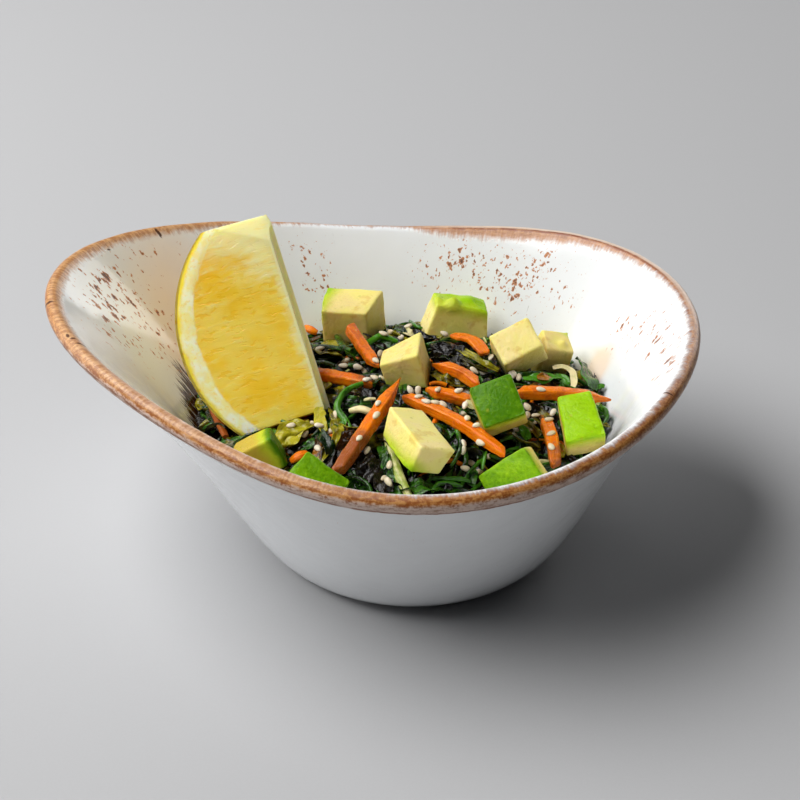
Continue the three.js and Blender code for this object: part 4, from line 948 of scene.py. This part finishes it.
def bowl_shape(settings):
    """The wall's outside from foot to lip, half a circle over the lip, and the inside back down.
    The distance from the crest is the length along that profile, positive inwards. The lip sways a
    little round the bowl."""
    wall = settings.wall / MM
    on_wall, on_lip = 57, 17
    angle = np.radians(np.arange(0, 360, 1.0))[None, :]
    stations = ease(np.linspace(0, 1, on_wall), -0.35, 1.35)
    stations = ((stations - stations[0]) / (stations[-1] - stations[0]))[:, None]
    turns = np.linspace(0, 1, on_lip)[1:-1, None]
    outside = wall_curve(settings, angle + 0 * stations, stations + 0 * angle, 0.0)
    inside = wall_curve(settings, angle + 0 * stations, stations + 0 * angle, wall)[::-1]
    slope = wave(RIM_SLOPE, angle)
    bearing = slope - np.pi / 2 + np.pi * turns
    lip = np.stack([wave(RIM_RADIUS, angle), wave(RIM_HEIGHT, angle)], -1) - wall / 2
    over = lip + np.stack([np.cos(bearing), np.sin(bearing)], -1) * wall / 2
    profile = np.concatenate([outside, over, inside])
    steps = np.linalg.norm(np.diff(profile, axis=0), axis=-1)
    run = np.concatenate([np.zeros((1, angle.size)), np.cumsum(steps, axis=0)])
    crest = run - run[on_wall + on_lip // 2 - 1]
    sway = 0.12 * np.sin(9 * angle + 1) + 0.08 * np.sin(23 * angle) + 0.05 * np.sin(41 * angle + 2)
    profile = profile + (sway * np.exp(-(crest / 5.0) ** 2))[..., None] * [0.25, 0.4]
    radius, height = profile[..., 0], profile[..., 1]
    rings = np.stack([radius * np.cos(angle), radius * np.sin(angle), height], -1)
    degrees = (np.degrees(angle) + 180) % 360 - 180
    bearings, *columns = np.transpose(RIM_BAND)
    reach, pink, rust, line, bare, deep = (np.interp(degrees, bearings, column) + 0 * crest
                                           for column in columns)
    stretch = np.interp(degrees, *np.transpose(FLECK_STRETCH))
    circle = np.stack([RIM_CIRCLE * np.cos(angle) + 0 * crest, RIM_CIRCLE * np.sin(angle) + 0 * crest], -1)
    foot_edge = (crest < 0) & (height < 0.25) & (radius > 32)
    # The lemon's painted reflection with its one real smear and the heap's painted shade are laid in with the
    # flecks and green smears.
    paints = {"flecks": FLECK_GROUPS, "lemon_reflection_and_smear": LEMON_REFLECTION_AND_SMEAR, "heap_shade": HEAP_SHADE_PATCHES,
              "green_smear": GREEN_SMEARS}
    painted_inside = {
        name: np.clip(painted(groups, angle, crest), 0, 1.2 if name == "flecks" else 1) * (crest > 0)
        for name, groups in paints.items()
    }
    return ring_skin(rings, crest=crest, rim=np.dstack([circle, crest]),
                     spots=np.dstack([circle, crest / stretch]), band_in=reach,
                     band_out=np.full(crest.shape, settings.band / MM), pink=pink, rust=rust,
                     line=line, bare=bare, depth=deep, **painted_inside,
                     unglazed=foot_edge.astype(float))


# ---------------------------------------------------------------- toppings
def turned(degrees):
    """Rotation that rolls about X, then tilts about Y, then turns about Z."""
    turn, tilt, roll = np.radians(degrees)
    (a, b), (c, d), (e, f) = ((math.cos(v), math.sin(v)) for v in (turn, tilt, roll))
    return (np.array([[a, -b, 0], [b, a, 0], [0, 0, 1]]) @ np.array([[c, 0, d], [0, 1, 0], [-d, 0, c]])
            @ np.array([[1, 0, 0], [0, e, -f], [0, f, e]]))


def narrowed(local, size, towards, least):
    """Places drawn in across one axis, evenly from the full width to the least share of it."""
    axis, sign = "xyz".index(towards[-1]), -1 if towards[0] == "-" else 1
    share = 1 + (least - 1) * (0.5 + sign * local[:, axis] / size[axis])
    return np.where(np.arange(3) == axis, local, local * share[:, None])


def dice_shape(settings, name):
    """Avocado dice: a block whose points are drawn onto a ball's radius from its inner block, then
    tapered, with the skin side bulged by a square law and dented, and the cut sides waved a little."""
    at, size, pose, taper, skin, deep, tone, dice_shade = DICE[name]
    phase = 1.7 * list(DICE).index(name)
    size, rounding = np.array(size, float), settings.dice_round / MM
    shares, quads = block_skin((20,) * 3)
    local = np.sin(np.pi / 2 * (2 * shares - 1)) * size / 2
    inner = np.clip(local, rounding - size / 2, size / 2 - rounding)
    away = local - inner
    away /= np.maximum(np.linalg.norm(away, axis=1, keepdims=True), 1e-9)
    local = inner + rounding * away
    skin = np.array(skin, float)
    skin /= np.linalg.norm(skin)
    reach = np.abs(skin) @ (size / 2)
    under = reach - local @ skin
    local = narrowed(local, size, *taper)
    facing = ease(away @ skin, 0.75, 0.95)
    spread = np.linalg.norm(local - np.outer(local @ skin, skin), axis=1) / size.max()
    bulge = facing * (0.55 - 3.0 * spread ** 2) * 0.8
    dents = facing * (0.22 * ripples(local, 1.7, phase) + 0.07 * ripples(local, 0.7, phase))
    waves = (1 - facing) * (0.16 * ripples(local, 3.2, phase) + 0.04 * ripples(local, 1.0, phase))
    for x, y, z, height, radius in KNOBS.get(name, ()):
        off = np.linalg.norm(local - np.array([x, y, z]) * size / 2, axis=1)
        waves = waves + height * np.exp(-(off / radius) ** 2)
    local = local + away * (bulge + dents + waves)[:, None]
    world = local @ turned(pose).T + np.array(at)
    # The piece's painted shade goes along as its own layer.
    return Shape(world, quads, skin=under + deep, tone=np.full(len(world), float(tone)),
                 dice_shade=np.full(len(world), float(dice_shade))).outwards()


def carrot_shape(name):
    """Carrot stick: a path bowed at its middle, with a section between a circle and a square, whose
    flats are planed unevenly and whose ends are rounded over."""
    start, bow, end, width, height, sauce, start_share, end_share, slant = CARROTS[name]
    phase = 2.3 * list(CARROTS).index(name)
    steps, around = 48, 28
    middle = (np.array(start) + end) / 2 + bow
    path, run = smooth_path([start, middle, end], steps + 1)
    share = np.linspace(0, 1, steps + 1)[:, None]
    ahead, side, above = path_frame(path, 0.12 * np.sin(3 * share[:, 0] + phase))
    turn = (2 * np.pi * (np.arange(around) + 0.5) / around)[None]
    x, y = (np.sign(part) * np.abs(part) ** SQUARENESS for part in (np.cos(turn), np.sin(turn)))
    from_end = np.minimum(share, 1 - share) * run
    full = 0.965 * (1 - 0.4 * np.clip(1 - from_end / 0.8, 0, 1) ** 2)
    full = full * (start_share + (1 - start_share) * ease(share, 0, 0.25))
    full = full * (end_share + (1 - end_share) * ease(1 - share, 0, 0.22))
    along = share * run
    planed = (1 + 0.035 * np.sin(0.9 * along + 2 * turn + phase)
              + 0.02 * np.sin(2.3 * along + 3 * turn + 2 * phase))
    aslant = slant * x * width / 2 * np.sign(share - 0.5) * np.exp(-from_end / 2.5)
    rings = (path[:, None] + side[:, None] * (full * planed * x * width / 2)[..., None]
             + above[:, None] * (full * planed * y * height / 2)[..., None]
             - ahead[:, None] * aslant[..., None])
    grain = np.stack(np.broadcast_arrays(along + 9 * phase, x * width / 2, y * height / 2), -1)
    sauced = np.broadcast_to(sauce * ease(share, 0.25, 0.9), rings.shape[:2])
    return ring_skin(rings, grain=grain, tone=sauced)


def lemon_radius(level):
    """Radius of the whole lemon at a level along its core: an ellipse."""
    return LEMON["radius"] * np.sqrt(1 - np.clip(level / LEMON["half_length"], -1, 1) ** 2)


def lemon_frame():
    """Foot point and the axes out, back and ahead of the wedge."""
    ahead = np.array(LEMON["ahead"]) / np.linalg.norm(LEMON["ahead"])
    out = np.array(LEMON["out"]) - ahead * (ahead @ np.array(LEMON["out"]))
    out /= np.linalg.norm(out)
    return np.array(LEMON["foot"]) - ahead * LEMON["below"], np.stack([out, np.cross(out, ahead), ahead])


def lemon_shape(settings):
    """Lemon wedge: the shares of a block are the way from core to rind, the turn through the wedge
    and the way from the lower cut to the upper ones, whose level is found by five rounds of
    setting it to the lower of the two cutting planes there."""
    shares, quads = block_skin((44, 26, 90))
    out_share, turn, along = shares.T
    out_share = np.sin(np.pi / 2 * out_share) ** 1.1
    angle = settings.wedge * turn
    core, below = LEMON["core"], LEMON["below"]
    top = np.full(len(shares), 30.0)
    for _ in range(5):
        radius = core + (lemon_radius(top) - core) * out_share
        top = np.min([level + rise * (radius * np.cos(angle) - core) + back * radius * np.sin(angle)
                      for level, rise, back in LEMON["cuts"]], axis=0)
    level = below + (top - below) * along
    rind = lemon_radius(level)
    radius = core + (rind - core) * out_share
    peel = rind - radius
    on_rind = shares[:, 0] == 1
    edge = np.minimum(turn, 1 - turn) * settings.wedge * radius
    radius = radius - on_rind * 0.7 * np.clip(1 - edge / 1.2, 0, 1) ** 2
    local = np.stack([radius * np.cos(angle), radius * np.sin(angle), level], -1)
    seen, hidden = turn == 0, turn == 1
    flesh = ease(peel, 4.4, 6.2) * ease(radius, core, core + 1.5)
    sacs = 0.03 * ripples(local * [0.28, 0.6, 1.0], 0.62, 0.4) + 0.10 * ripples(local * [0.5, 1, 1], 2.4, 1.1)
    sunk = flesh * (0.2 + sacs) * (ease(along, 0, 0.04) * ease(1 - along, 0, 0.04))
    local[:, 1] += np.where(seen, sunk, 0) - np.where(hidden, sunk * np.cos(settings.wedge), 0)
    local[:, 0] += np.where(hidden, sunk * np.sin(settings.wedge), 0)
    # Paler by the core and the upper end, plus painted light over the whole face at the core.
    pale_and_painted_light = np.maximum(0.8 * ease(radius, 9, core), ease(level, top - 24, top + 1)) + (shares[:, 0] == 0)
    origin, axes = lemon_frame()
    cut = np.stack([radius, angle * radius + 40 * hidden, level], -1)
    return Shape(local @ axes + origin, quads, peel=peel, pale_and_painted_light=pale_and_painted_light, cut=cut).outwards()


def clear_of_toppings(points, margin):
    """Which points keep the margin from each dice, taken as its block, each stick, taken as a round
    one along its bow, and the lemon's wedge."""
    hit = np.zeros(len(points), bool)
    for at, size, pose, *_ in DICE.values():
        local = (points - np.array(at)) @ turned(pose)
        hit |= np.all(np.abs(local) < np.array(size) / 2 + margin, axis=1)
    for start, bow, end, width, height, *_ in CARROTS.values():
        bow = np.array(bow)
        way = np.array(end) + 0.2 * bow - start
        share = np.clip((points - start) @ way / (way @ way), 0, 1)[:, None]
        off = np.linalg.norm(points - (start + share * way + 4 * share * (1 - share) * bow), axis=1)
        hit |= off < max(width, height) / 2 + margin
    origin, axes = lemon_frame()
    local = (points - origin) @ axes.T
    out, back, level = local.T
    radius, turn = np.hypot(out, back), np.arctan2(back, out)
    spare, wedge = margin / np.maximum(radius, 1), bpy.context.scene.salad_bowl.toppings.wedge
    hit |= ((radius < lemon_radius(level) + margin) & (turn > -spare) & (turn < wedge + spare)
            & (level > LEMON["below"] - margin) & (level < LEMON["above"]))
    return ~hit


# ---------------------------------------------------------------- salad
def heap_height(settings, x, y):
    """Height of the heap: its edge, a dome over an ellipse, and small crossing waves on it."""
    out = np.hypot(x / HEAP_SPAN[0], y / HEAP_SPAN[1])
    bump = np.sin(x / 3.9 + 1) * np.cos(y / 3.4) + 0.6 * np.sin((x + y) / 2.7)
    return (settings.edge / MM + settings.rise / MM * np.maximum(0, 1 - out * out)
            + 0.9 * bump * np.maximum(0, 1 - out))


def seen_at(spots, level):
    """Where the lines of sight through spots of the picture cross a level."""
    down, focal = math.radians(LOOK_DOWN), PICTURE * LENS / SENSOR
    across = (spots[..., 0] - PICTURE / 2) / focal
    up = (PICTURE / 2 - spots[..., 1]) / focal
    sight = np.stack([across, math.cos(down) + up * math.sin(down),
                      up * math.cos(down) - math.sin(down)], -1)
    return EYE + sight * ((level - EYE[2]) / sight[..., 2])[..., None]


def picked_plan(settings, picks):
    """Plan points with lifts for picks in the picture. The level where each line of sight is crossed
    is moved in sixty steps towards the heap's height there and the lift, and the places are
    rounded to a tenth of a millimetre."""
    picks = np.array(picks, float)
    lift, level = picks[:, 2], np.full(len(picks), 46.0)
    for _ in range(60):
        x, y, _ = seen_at(picks, level).T
        level = 0.7 * level + 0.3 * (heap_height(settings, x, y) + lift)
    return np.column_stack([np.round(x, 1), np.round(y, 1), lift])


def heap_path(settings, points):
    """Plan points with lifts, stood on the heap."""
    x, y, lift = np.array(points, float).T
    return np.stack([x, y, heap_height(settings, x, y) + lift], -1)


def core_shape(settings, bowl):
    """Core of the heap: just inside the wall up to the heap's edge, then over the top, sunk under
    the strands and ruffled by waves."""
    angle = np.radians(np.arange(0, 360, 2.25))[None, :]
    depth = bowl.wall / MM + 0.6
    lows = np.linspace(depth, settings.edge / MM - 0.5, 14)[:, None]
    radius = inner_radius(bowl, angle + 0 * lows, lows + 0 * angle, depth) - 0.3
    lower = np.stack([radius * np.cos(angle), radius * np.sin(angle), lows + 0 * angle], -1)
    shares = np.linspace(0.985, 0.02, 64)[:, None]
    out = radius[-1][None] * shares
    x, y = out * np.cos(angle), out * np.sin(angle)
    ruffle = 1.1 * ripples(np.stack([x, y, 0 * x], -1), 2.1) + 0.4 * ripples(np.stack([y, x, 0 * x], -1), 0.9)
    fade = ease(1 - shares, 0.0, 0.12)
    upper = np.stack([x, y, heap_height(settings, x, y) + fade * (ruffle - settings.sunk / MM)], -1)
    rings = np.concatenate([lower, upper])
    return ring_skin(rings, tone=np.full(rings.shape[:2], 0.2), grain=rings * [1, 1, 0.3])


def clear_part(bowl, points, width, margin):
    """The longest stretch of a path whose middle and both edges keep clear of the toppings and
    the wall, as six new points, and its length."""
    dense, run = smooth_path(points, 36)
    _, side, _ = path_frame(dense)
    clear = np.ones(len(dense), bool)
    for edge in (-0.42, 0, 0.42):
        spots = dense + side * width * edge
        x, y, z = spots.T
        wall = inner_radius(bowl, np.arctan2(y, x), z, bowl.wall / MM)
        clear &= (np.hypot(x, y) + 0.5 < wall) & clear_of_toppings(spots, margin)
    ends = np.flatnonzero(np.diff(np.concatenate([[0], clear, [0]])))
    if not len(ends):
        return None, 0.0
    first, last = max(zip(ends[::2], ends[1::2]), key=lambda part: part[1] - part[0])
    picked = np.round(np.linspace(first, last - 1, 6)).astype(int)
    return dense[picked], run * (last - 1 - first) / (len(dense) - 1)


def scattered(settings, bowl, tries, lengths, widths, lifts, inner, seed):
    """Paths of pieces strewn over the heap, with width, length, tone and phase. Each path has its
    middle at an even spot of a sunflower spiral, moved a little, and bends at a steady rate. The
    spiral covers the heap outwards from an inner share of its radius. Only the clear part of a
    piece is kept, if that is long enough."""
    draw = np.random.default_rng(seed)
    found = []
    part = np.linspace(-0.5, 0.5, 6)
    for i in range(tries):
        turn = i * math.pi * (3 - math.sqrt(5)) + draw.uniform(-0.4, 0.4)
        out = math.sqrt(inner ** 2 + (1 - inner ** 2) * (i + 0.5) / tries)
        centre = HEAP_SPAN * 0.98 * out * [math.cos(turn), math.sin(turn)]
        run, width = draw.uniform(*lengths), draw.uniform(*widths)
        bearing, bend, lift = draw.uniform(0, 2 * math.pi), draw.uniform(-2.6, 2.6), draw.uniform(*lifts)
        sway, tone, phase = draw.uniform(0.3, 1.2), draw.uniform(0, 1), draw.uniform(0, 6)
        heading = bearing + bend * part
        steps = np.stack([np.cos(heading), np.sin(heading)], -1) * (run / 5)
        plan = centre + np.cumsum(steps, axis=0) - steps.sum(axis=0) / 2
        rise = lift + sway * np.cos(2 * np.pi * part + phase)
        path = heap_path(settings, np.column_stack([plan, rise]))
        points, run = clear_part(bowl, path, width, 0.3)
        if run > max(4.0, 1.2 * width):
            found.append((points, width, run, tone, phase))
    return found


def salad_shapes(settings, bowl):
    """Every strand and leaf of the salad by kind: those that stand out, and the scattered ones."""
    kinds = {kind: [] for kind in ("green", "olive", "brown", "black", "pale", "carrot")}
    leaf_thickness, least_run = 0.7, 2
    for i, (kind, width, thickness, tone, picks) in enumerate(STRANDS):
        path = heap_path(settings, picked_plan(settings, picks))
        points, run = clear_part(bowl, path, width, 0.1)
        if run > least_run:
            kinds[kind].append(band_shape(points, width, thickness, 40, 16, roll=0.3 * i, phase=float(i),
                                          taper=0.6, tone=tone))
    for i, (kind, width, ripple, roll, tone, picks) in enumerate(LEAVES):
        path = heap_path(settings, picked_plan(settings, picks))
        points, run = clear_part(bowl, path, width * math.cos(roll), 0.1)
        if run > least_run:
            kinds[kind].append(band_shape(points, width, leaf_thickness, 44, 28, roll, ripple, 0.4,
                                          phase=1.3 * i, tone=tone))
    for number, (kind, form, share, lengths, widths, lifts, thin, inner) in enumerate(SCATTER):
        tries = int(share * (settings.strands if form == "strand" else settings.leaves))
        for points, width, run, tone, phase in scattered(settings, bowl, tries, lengths, widths, lifts, inner,
                                                         settings.seed + number):
            if form == "strand":
                shape = band_shape(points, width, width * thin, max(8, int(run)), 10, phase, phase=phase,
                                   taper=0.55, tone=0.05 + 0.5 * tone)
            else:
                shape = band_shape(points, width, leaf_thickness, max(10, int(1.4 * run)), 18,
                                   0.9 * math.sin(phase), 0.25 * thin * width, 0.4 * math.cos(phase), phase,
                                   taper=0.4, tone=0.05 + 0.5 * tone, twist=1.2 * math.sin(2 * phase))
            kinds[kind].append(shape)
    return {kind: joined(shapes) for kind, shapes in kinds.items()}


def picked_seed(u, v, lean):
    """Place on the level under a seed picked in the picture, to a tenth of a millimetre, and its
    heading there in whole degrees."""
    lean = math.radians(lean)
    picks = np.array([(u, v), (u + 6 * math.cos(lean), v - 6 * math.sin(lean))])
    place, ahead = seen_at(picks, SESAME_LEVEL)
    way = ahead - place
    return (*np.round(place[:2], 1), round(math.degrees(math.atan2(way[1], way[0]))))


def sesame_shape(settings, hosts, others):
    """Seeds: each is a ball drawn out to the seed's length and narrowed towards one end. It lies
    where the line of sight first meets the salad or a stick, turned to that surface and sunk in a
    little. Where the line meets another piece first, the seed is left out."""
    size = np.array([settings.seed_length, settings.seed_width, settings.seed_height]) / MM
    rows, columns, sunk = 9, 12, 0.3
    down, around = np.meshgrid(np.linspace(0.12, np.pi - 0.12, rows),
                               2 * np.pi * np.arange(columns) / columns, indexing="ij")
    along = np.cos(down)
    seed = np.stack([along, np.sin(down) * np.cos(around) * (1 - 0.26 * along),
                     np.sin(down) * np.sin(around) * (1 - 0.2 * along)], -1) * size / 2
    depsgraph = bpy.context.evaluated_depsgraph_get()
    trees = [(name in hosts, BVHTree.FromObject(bpy.data.objects[name], depsgraph))
             for name in hosts + others]
    draw = np.random.default_rng(21)
    eye = Vector(EYE) * MM
    shapes = []
    for x, y, heading in (picked_seed(*pick) for pick in SESAME):
        tone, swell, flip = draw.uniform(), draw.uniform(0.9, 1.08), draw.integers(2)
        sight = (Vector((x, y, SESAME_LEVEL)) * MM - eye).normalized()
        hits = [(host, *tree.ray_cast(eye, sight)) for host, tree in trees]
        hits = [hit for hit in hits if hit[1] is not None]
        host, spot, normal, _, _ = min(hits, key=lambda hit: hit[4], default=[False] * 5)
        if not host:
            continue
        up = np.array(normal.lerp(Vector((0, 0, 1)), 0.45).normalized())
        bearing = math.radians(heading) + math.pi * flip
        side = np.cross(up, [math.cos(bearing), math.sin(bearing), 0])
        side /= np.linalg.norm(side)
        axes = np.stack([np.cross(side, up), side, up])
        rings = swell * seed @ axes + np.array(spot) / MM + up * (size[2] / 2 - sunk)
        shapes.append(ring_skin(rings, tone=np.full(rings.shape[:2], tone), tip=along))
    return joined(shapes)


# ---------------------------------------------------------------- operators
class SALAD_OT_bowl(bpy.types.Operator):
    """Make the glazed bowl with its brown rim band and flecks"""
    bl_idname = "salad_bowl.bowl"
    bl_label = "Bowl"

    def execute(self, context):
        settings = context.scene.salad_bowl.bowl
        make_piece("glazed_bowl", bowl_shape(settings), glaze_material(settings), ["bowl"], 80)
        return {"FINISHED"}


class SALAD_OT_salad(bpy.types.Operator):
    """Make the heap's core and its strands, leaves, strips, stems and carrot shreds"""
    bl_idname = "salad_bowl.salad"
    bl_label = "Salad"

    def execute(self, context):
        settings, bowl = context.scene.salad_bowl.salad, context.scene.salad_bowl.bowl
        materials = {
            "green": seaweed_material("green_seaweed", settings.green, (0.07, 0.26, 0.012), 0.07),
            "olive": seaweed_material("olive_leaf", settings.olive, (0.44, 0.39, 0.015), 0.09),
            "brown": seaweed_material("brown_leaf", settings.brown, (0.46, 0.17, 0.006), 0.08),
            "black": seaweed_material("black_strip", settings.black, (0.012, 0.007, 0.004), 0.05, 1.4),
            "pale": seaweed_material("pale_stem", (0.30, 0.38, 0.05), settings.pale, 0.2),
        }
        make_piece("salad_core", core_shape(settings, bowl), materials["black"], ["salad"])
        shapes = salad_shapes(settings, bowl)
        carrot = carrot_material(context.scene.salad_bowl.toppings)
        make_piece("carrot_shreds", shapes.pop("carrot"), carrot, ["salad"], 70)
        for kind, shape in shapes.items():
            make_piece(kind + "_seaweed", shape, materials[kind], ["salad"], 80)
        return {"FINISHED"}


class SALAD_OT_avocado(bpy.types.Operator):
    """Make the avocado dice"""
    bl_idname = "salad_bowl.avocado"
    bl_label = "Avocado"

    def execute(self, context):
        settings = context.scene.salad_bowl.toppings
        material = avocado_material(settings)
        for name in DICE:
            make_piece(name.replace("avocado_", "avocado_dice_"), dice_shape(settings, name), material,
                       [name], 60)
        return {"FINISHED"}


class SALAD_OT_carrot(bpy.types.Operator):
    """Make the carrot sticks"""
    bl_idname = "salad_bowl.carrot"
    bl_label = "Carrot"

    def execute(self, context):
        material = carrot_material(context.scene.salad_bowl.toppings)
        for name in CARROTS:
            make_piece(name.replace("carrot_", "carrot_stick_"), carrot_shape(name), material,
                       [name], 50)
        return {"FINISHED"}


class SALAD_OT_lemon(bpy.types.Operator):
    """Make the lemon wedge"""
    bl_idname = "salad_bowl.lemon"
    bl_label = "Lemon"

    def execute(self, context):
        settings = context.scene.salad_bowl.toppings
        make_piece("lemon_slice", lemon_shape(settings), lemon_material(settings),
                   ["lemon_wedge"], 40)
        return {"FINISHED"}


class SALAD_OT_sesame(bpy.types.Operator):
    """Strew sesame seeds over the salad and the carrot"""
    bl_idname = "salad_bowl.sesame"
    bl_label = "Sesame"

    def execute(self, context):
        settings = context.scene.salad_bowl.toppings
        names = [o.name for o in context.scene.objects]
        hosts = [name for name in names if name == "salad_core" or name.endswith("_seaweed")
                 or name.startswith(("carrot_stick_", "carrot_shreds"))]
        others = [name for name in names
                  if name.startswith(("avocado_dice_", "lemon_slice", "glazed_bowl"))]
        if not hosts:
            raise RuntimeError("Make the salad before the sesame")
        make_piece("sesame_seeds", sesame_shape(settings, hosts, others), sesame_material(settings),
                   ["salad"], 80)
        return {"FINISHED"}


class SALAD_OT_stage(bpy.types.Operator):
    """Make the pale floor, the soft lights and the camera"""
    bl_idname = "salad_bowl.stage"
    bl_label = "Stage"

    def execute(self, context):
        settings, scene = context.scene.salad_bowl.stage, context.scene
        mesh = bpy.data.meshes.new("floor")
        signs = ((-1, -1), (1, -1), (1, 1), (-1, 1))
        mesh.from_pydata([(FLOOR_REACH * x, FLOOR_REACH * y, 0) for x, y in signs], [], [(0, 1, 2, 3)])
        mesh.materials.append(floor_material(settings))
        floor = bpy.data.objects.new("floor", mesh)
        scene.collection.objects.link(floor)

        def lamp(name, towards, distance, width, height, power):
            light = bpy.data.lights.new(name, "AREA")
            light.shape, light.size, light.size_y, light.energy = "ELLIPSE", width, height, power
            lamp_object = bpy.data.objects.new(name, light)
            way = Vector(towards).normalized()
            lamp_object.location = way * distance + Vector((0, 0, 0.02))
            lamp_object.rotation_euler = way.to_track_quat("Z", "Y").to_euler()
            scene.collection.objects.link(lamp_object)

        lamp("key_light", KEY_TOWARDS, KEY_DISTANCE, settings.key_width, settings.key_height,
             settings.key_power)
        for name, (towards, share) in LOW_LIGHTS.items():
            lamp(name, towards, LOW_DISTANCE, LOW_SIZE, LOW_SIZE, settings.low_power * share)
        world = bpy.data.worlds.new("soft_room")
        world.use_nodes = True
        background = world.node_tree.nodes["Background"]
        background.inputs["Color"].default_value = (0.93, 0.96, 1.0, 1)
        background.inputs["Strength"].default_value = settings.ambient
        scene.world = world

        camera = bpy.data.cameras.new("camera")
        camera.lens, camera.sensor_width, camera.clip_start = settings.lens, 36, 0.01
        camera_object = bpy.data.objects.new("camera", camera)
        camera_object.location = [part * MM for part in EYE]
        camera_object.rotation_euler = (math.radians(90 - LOOK_DOWN), 0, 0)
        scene.collection.objects.link(camera_object)
        scene.camera = camera_object
        scene.view_settings.view_transform = "Standard"
        return {"FINISHED"}


class SALAD_PT_panel(bpy.types.Panel):
    """Sidebar panel with every step and its sizes and colours"""
    bl_idname = "SALAD_PT_panel"
    bl_label = "Salad Bowl"
    bl_space_type = "VIEW_3D"
    bl_region_type = "UI"
    bl_category = "Salad Bowl"

    def draw(self, context):
        settings = context.scene.salad_bowl
        for title, group, steps in (
                ("Bowl", settings.bowl, (SALAD_OT_bowl,)), ("Salad", settings.salad, (SALAD_OT_salad,)),
                ("Toppings", settings.toppings, (SALAD_OT_avocado, SALAD_OT_carrot, SALAD_OT_lemon,
                                                 SALAD_OT_sesame)),
                ("Stage", settings.stage, (SALAD_OT_stage,))):
            box = self.layout.box()
            box.label(text=title)
            for name in group.__annotations__:
                box.prop(group, name)
            for step in steps:
                box.operator(step.bl_idname)


STEPS = (SALAD_OT_bowl, SALAD_OT_salad, SALAD_OT_avocado, SALAD_OT_carrot, SALAD_OT_lemon,
         SALAD_OT_sesame, SALAD_OT_stage)
CLASSES = (BowlSettings, SaladSettings, ToppingSettings, StageSettings, SaladBowlSettings, *STEPS,
           SALAD_PT_panel)


def register():
    for item in CLASSES:
        bpy.utils.register_class(item)
    bpy.types.Scene.salad_bowl = bpy.props.PointerProperty(type=SaladBowlSettings)


def unregister():
    del bpy.types.Scene.salad_bowl
    for item in reversed(CLASSES):
        bpy.utils.unregister_class(item)


def main():
    register()
    for step in STEPS:
        group, name = step.bl_idname.split(".")
        getattr(getattr(bpy.ops, group), name)()


if __name__ == "__main__":
    main()
